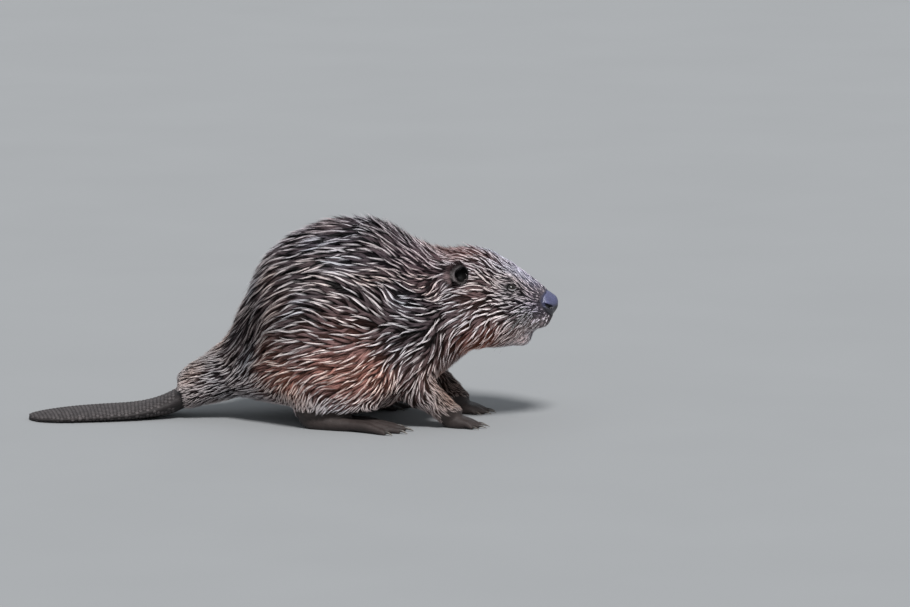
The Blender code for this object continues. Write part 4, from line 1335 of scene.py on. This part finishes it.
def layLocks():  # the locks' roots, and what each lock is like
    roots, normals = sowRoots()

    def between(low, high):
        return rng.uniform(low, high, len(roots))

    _, length, depth = combAt(roots)
    gaps = spacingAt(length)
    least, more = coatPlan["pale"]
    share = least + more * (1 - ease(length, 12 * mm, 32 * mm))
    pale = np.zeros(len(roots), bool)  # the pale locks lie evenly among the dark ones
    pale[thinned(roots, gaps * coatPlan["apart"] / share**0.5, rng.permutation(len(roots)))] = True
    short = (1 - ease(length, 9 * mm, 16 * mm)) * ease(roots[:, 2], 0.136, 0.150)
    pale &= waves(roots, 0.007, 41) > 0.1 - 4 * (1 - short)  # short pale hair stands in flecks
    length = length * np.where(pale, *(between(*limits) for limits in coatPlan["length"]))
    line, out = marched(roots, normals, length)
    line = bundled(line, roots, gaps)
    line, out, length, clear = cutShort(line, out, length)
    roots, gaps, pale, length, depth = roots[clear], gaps[clear], pale[clear], length[clear], depth[clear]
    lumps = 1 + 0.16 * waves(roots, 0.030, 31)
    ruffled = np.zeros(len(roots))
    for place, reach, share in coatPlan["ruffled"].values():
        near = np.linalg.norm(roots - spot(*place), axis=1)
        ruffled += share * np.exp(-(near / reach) ** 2)
    standing = rng.random(len(roots)) < coatPlan["standing"] + ruffled
    body, tip = tintsAt(roots)
    least, more = coatPlan["brown"]
    brown = ~pale & (rng.random(len(roots)) < least + more * ease(length, 8 * mm, 18 * mm))
    dull = np.clip(body[brown][:, :1] / hairBodyAndShade[0], 0.35, 1)  # less brown where the hair is darkest
    body[brown] = body[brown] * 2.0 + np.array(coatPlan["brownTint"]) * dull * (tip[brown] / hairTipAndSheen)
    plain = coatPlan["plain"] * (1 - ease(length, 5 * mm, 13 * mm))  # short hair is more of one colour
    top, middle, low = coatPlan["height"]
    deep = depth * lumps * between(0.88, 1.05) * np.where(pale, top, np.where(brown, middle, low))
    lift = standing * between(*coatPlan["lift"]) * (1 + 4.5 * ruffled) * mm * ease(depth, 2 * mm, 6 * mm)
    paleTip, darkTip = (between(*limits) for limits in coatPlan["tip"])
    shade = np.where(pale, paleTip, darkTip + plain)
    return roots, {
        "line": line, "out": out, "length": length, "half": gaps * np.where(pale, *coatPlan["half"]),
        "depth": deep, "lift": lift, "pale": shade, "body": body, "tip": tip,
    }


def makeRegion(name, lock, spots):  # one piece of the coat, and its UV map with a patch for each lock
    parts, patches = [], []
    most = 1
    for least, strands, rows in coatPlan["kinds"]:
        mine = (lock["length"] >= least) & (lock["length"] < most)
        most = least
        if not mine.any():
            continue
        points, tint, patch = strandsOf({key: value[mine] for key, value in lock.items()}, strands, rows)
        count = points.shape[0] * points.shape[1]
        faces = (strandFaces(rows)[None] + np.arange(count)[:, None, None] * (rows * 2 + 1)).reshape(-1, 3)
        parts.append((points.reshape(-1, 3), faces, tint.reshape(-1, 3)))
        patches.append((patch + spots[mine][:, None, None]).reshape(-1, 2))
    piece = finishPiece(name, parts, "wetHair")
    corners = readOut(piece.data.loops, "vertex_index", 1)[:, 0]
    layer = piece.data.uv_layers.new(name="OFBake")
    layer.data.foreach_set("uv", np.concatenate(patches)[corners].astype(np.float32).ravel())
    print(name, len(lock["length"]), "locks", len(piece.data.polygons), "triangles")


def makeCoat():
    roots, lock = layLocks()
    for side in sides:
        fringe = earFringe(side)
        roots = np.concatenate([roots, fringe.pop("roots")])
        lock = {key: np.concatenate([value, fringe[key]]) for key, value in lock.items()}
    left = np.ones(len(roots), bool)
    for name, inside in regions.items():
        here = left & inside(noseX - roots[:, 0], roots[:, 1], roots[:, 2])
        left &= ~here
        makeRegion(name, {key: value[here] for key, value in lock.items()}, unwrapped(roots[here]))
    print("locks in all:", len(roots))


coarse = shaped(base, ("DECIMATE", {"ratio": skinPlan["coarse"]}))
makeCoat()


# Floor, light and camera.
stagePlan = {
    "floor": 60.0,
    "floorTint": (0.27, 0.275, 0.28),
    "sky": (0.88, 0.94, 1.0),
    "skyStrength": 0.50,
    "sunStrength": 4.2,
    "sunAngle": 14,
    "sunFrom": (0.15, -0.70, 0.85),
}


def makeStage():
    half = stagePlan["floor"]
    corners = [(-half, -half, 0), (half, -half, 0), (half, half, 0), (-half, half, 0)]
    mesh = meshFrom("floor", corners, [(0, 1, 2, 3)])
    material, tree, shader = newMaterial("floor", {"Roughness": 0.9})
    place = addNode(tree, "TexCoord").outputs["Object"]
    cloud = addNode(tree, "TexNoise", {"Vector": place, "Scale": 3.0, "Detail": 2.0})
    tint = stagePlan["floorTint"]
    shade = ramp(tree, cloud.outputs["Fac"], (0.3, tuple(v * 0.97 for v in tint)), (0.7, tint))
    tree.links.new(shade, shader.inputs["Base Color"])
    addPiece("floor", mesh, material)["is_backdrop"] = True
    world = bpy.data.worlds.new("sky")
    scene.world = world
    world.use_nodes = True
    backdrop = world.node_tree.nodes["Background"]
    backdrop.inputs["Color"].default_value = (*stagePlan["sky"], 1)
    backdrop.inputs["Strength"].default_value = stagePlan["skyStrength"]
    sun = bpy.data.lights.new("sun", "SUN")
    sun.energy = stagePlan["sunStrength"]
    sun.angle = math.radians(stagePlan["sunAngle"])
    lamp = bpy.data.objects.new("sun", sun)
    lamp.rotation_mode = "QUATERNION"
    lamp.rotation_quaternion = Vector(stagePlan["sunFrom"]).to_track_quat("Z", "Y")
    scene.collection.objects.link(lamp)
    lamp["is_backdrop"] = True


cameraPlan = {
    "azimuth": 5, "elevation": 9, "distance": 12.0,
    "seen": 910 * 1.45 * mm,  # the view's width at the animal
    "noseRight": 0.1494, "noseUp": 0.0022,  # the nose tip from the view's middle
}


def makeCamera():
    azimuth, elevation = math.radians(cameraPlan["azimuth"]), math.radians(cameraPlan["elevation"])
    level = math.cos(elevation)
    back = Vector((math.sin(azimuth) * level, -math.cos(azimuth) * level, math.sin(elevation)))
    right = Vector((math.cos(azimuth), math.sin(azimuth), 0))
    up = back.cross(right)
    low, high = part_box("nose")
    tip = Vector((high.x, 0, (low.z + high.z) / 2))
    target = tip - right * cameraPlan["noseRight"] - up * cameraPlan["noseUp"]
    lens = bpy.data.cameras.new("camera")
    lens.sensor_width = 36
    lens.lens = 36 * cameraPlan["distance"] / cameraPlan["seen"]
    lens.clip_end = 200
    camera = bpy.data.objects.new("camera", lens)
    camera.location = target + back * cameraPlan["distance"]
    camera.rotation_mode = "QUATERNION"
    camera.rotation_quaternion = back.to_track_quat("Z", "Y")
    scene.collection.objects.link(camera)
    scene.camera = camera


makeStage()
makeCamera()
print("floor, light and camera set")
scene.view_settings.view_transform = "Standard"
newLow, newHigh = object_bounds()
for words, grown in (("low", cadLow - newLow), ("high", newHigh - cadHigh)):
    print("grown at the", words, "end (mm):", [round(v * 1000, 1) for v in grown])
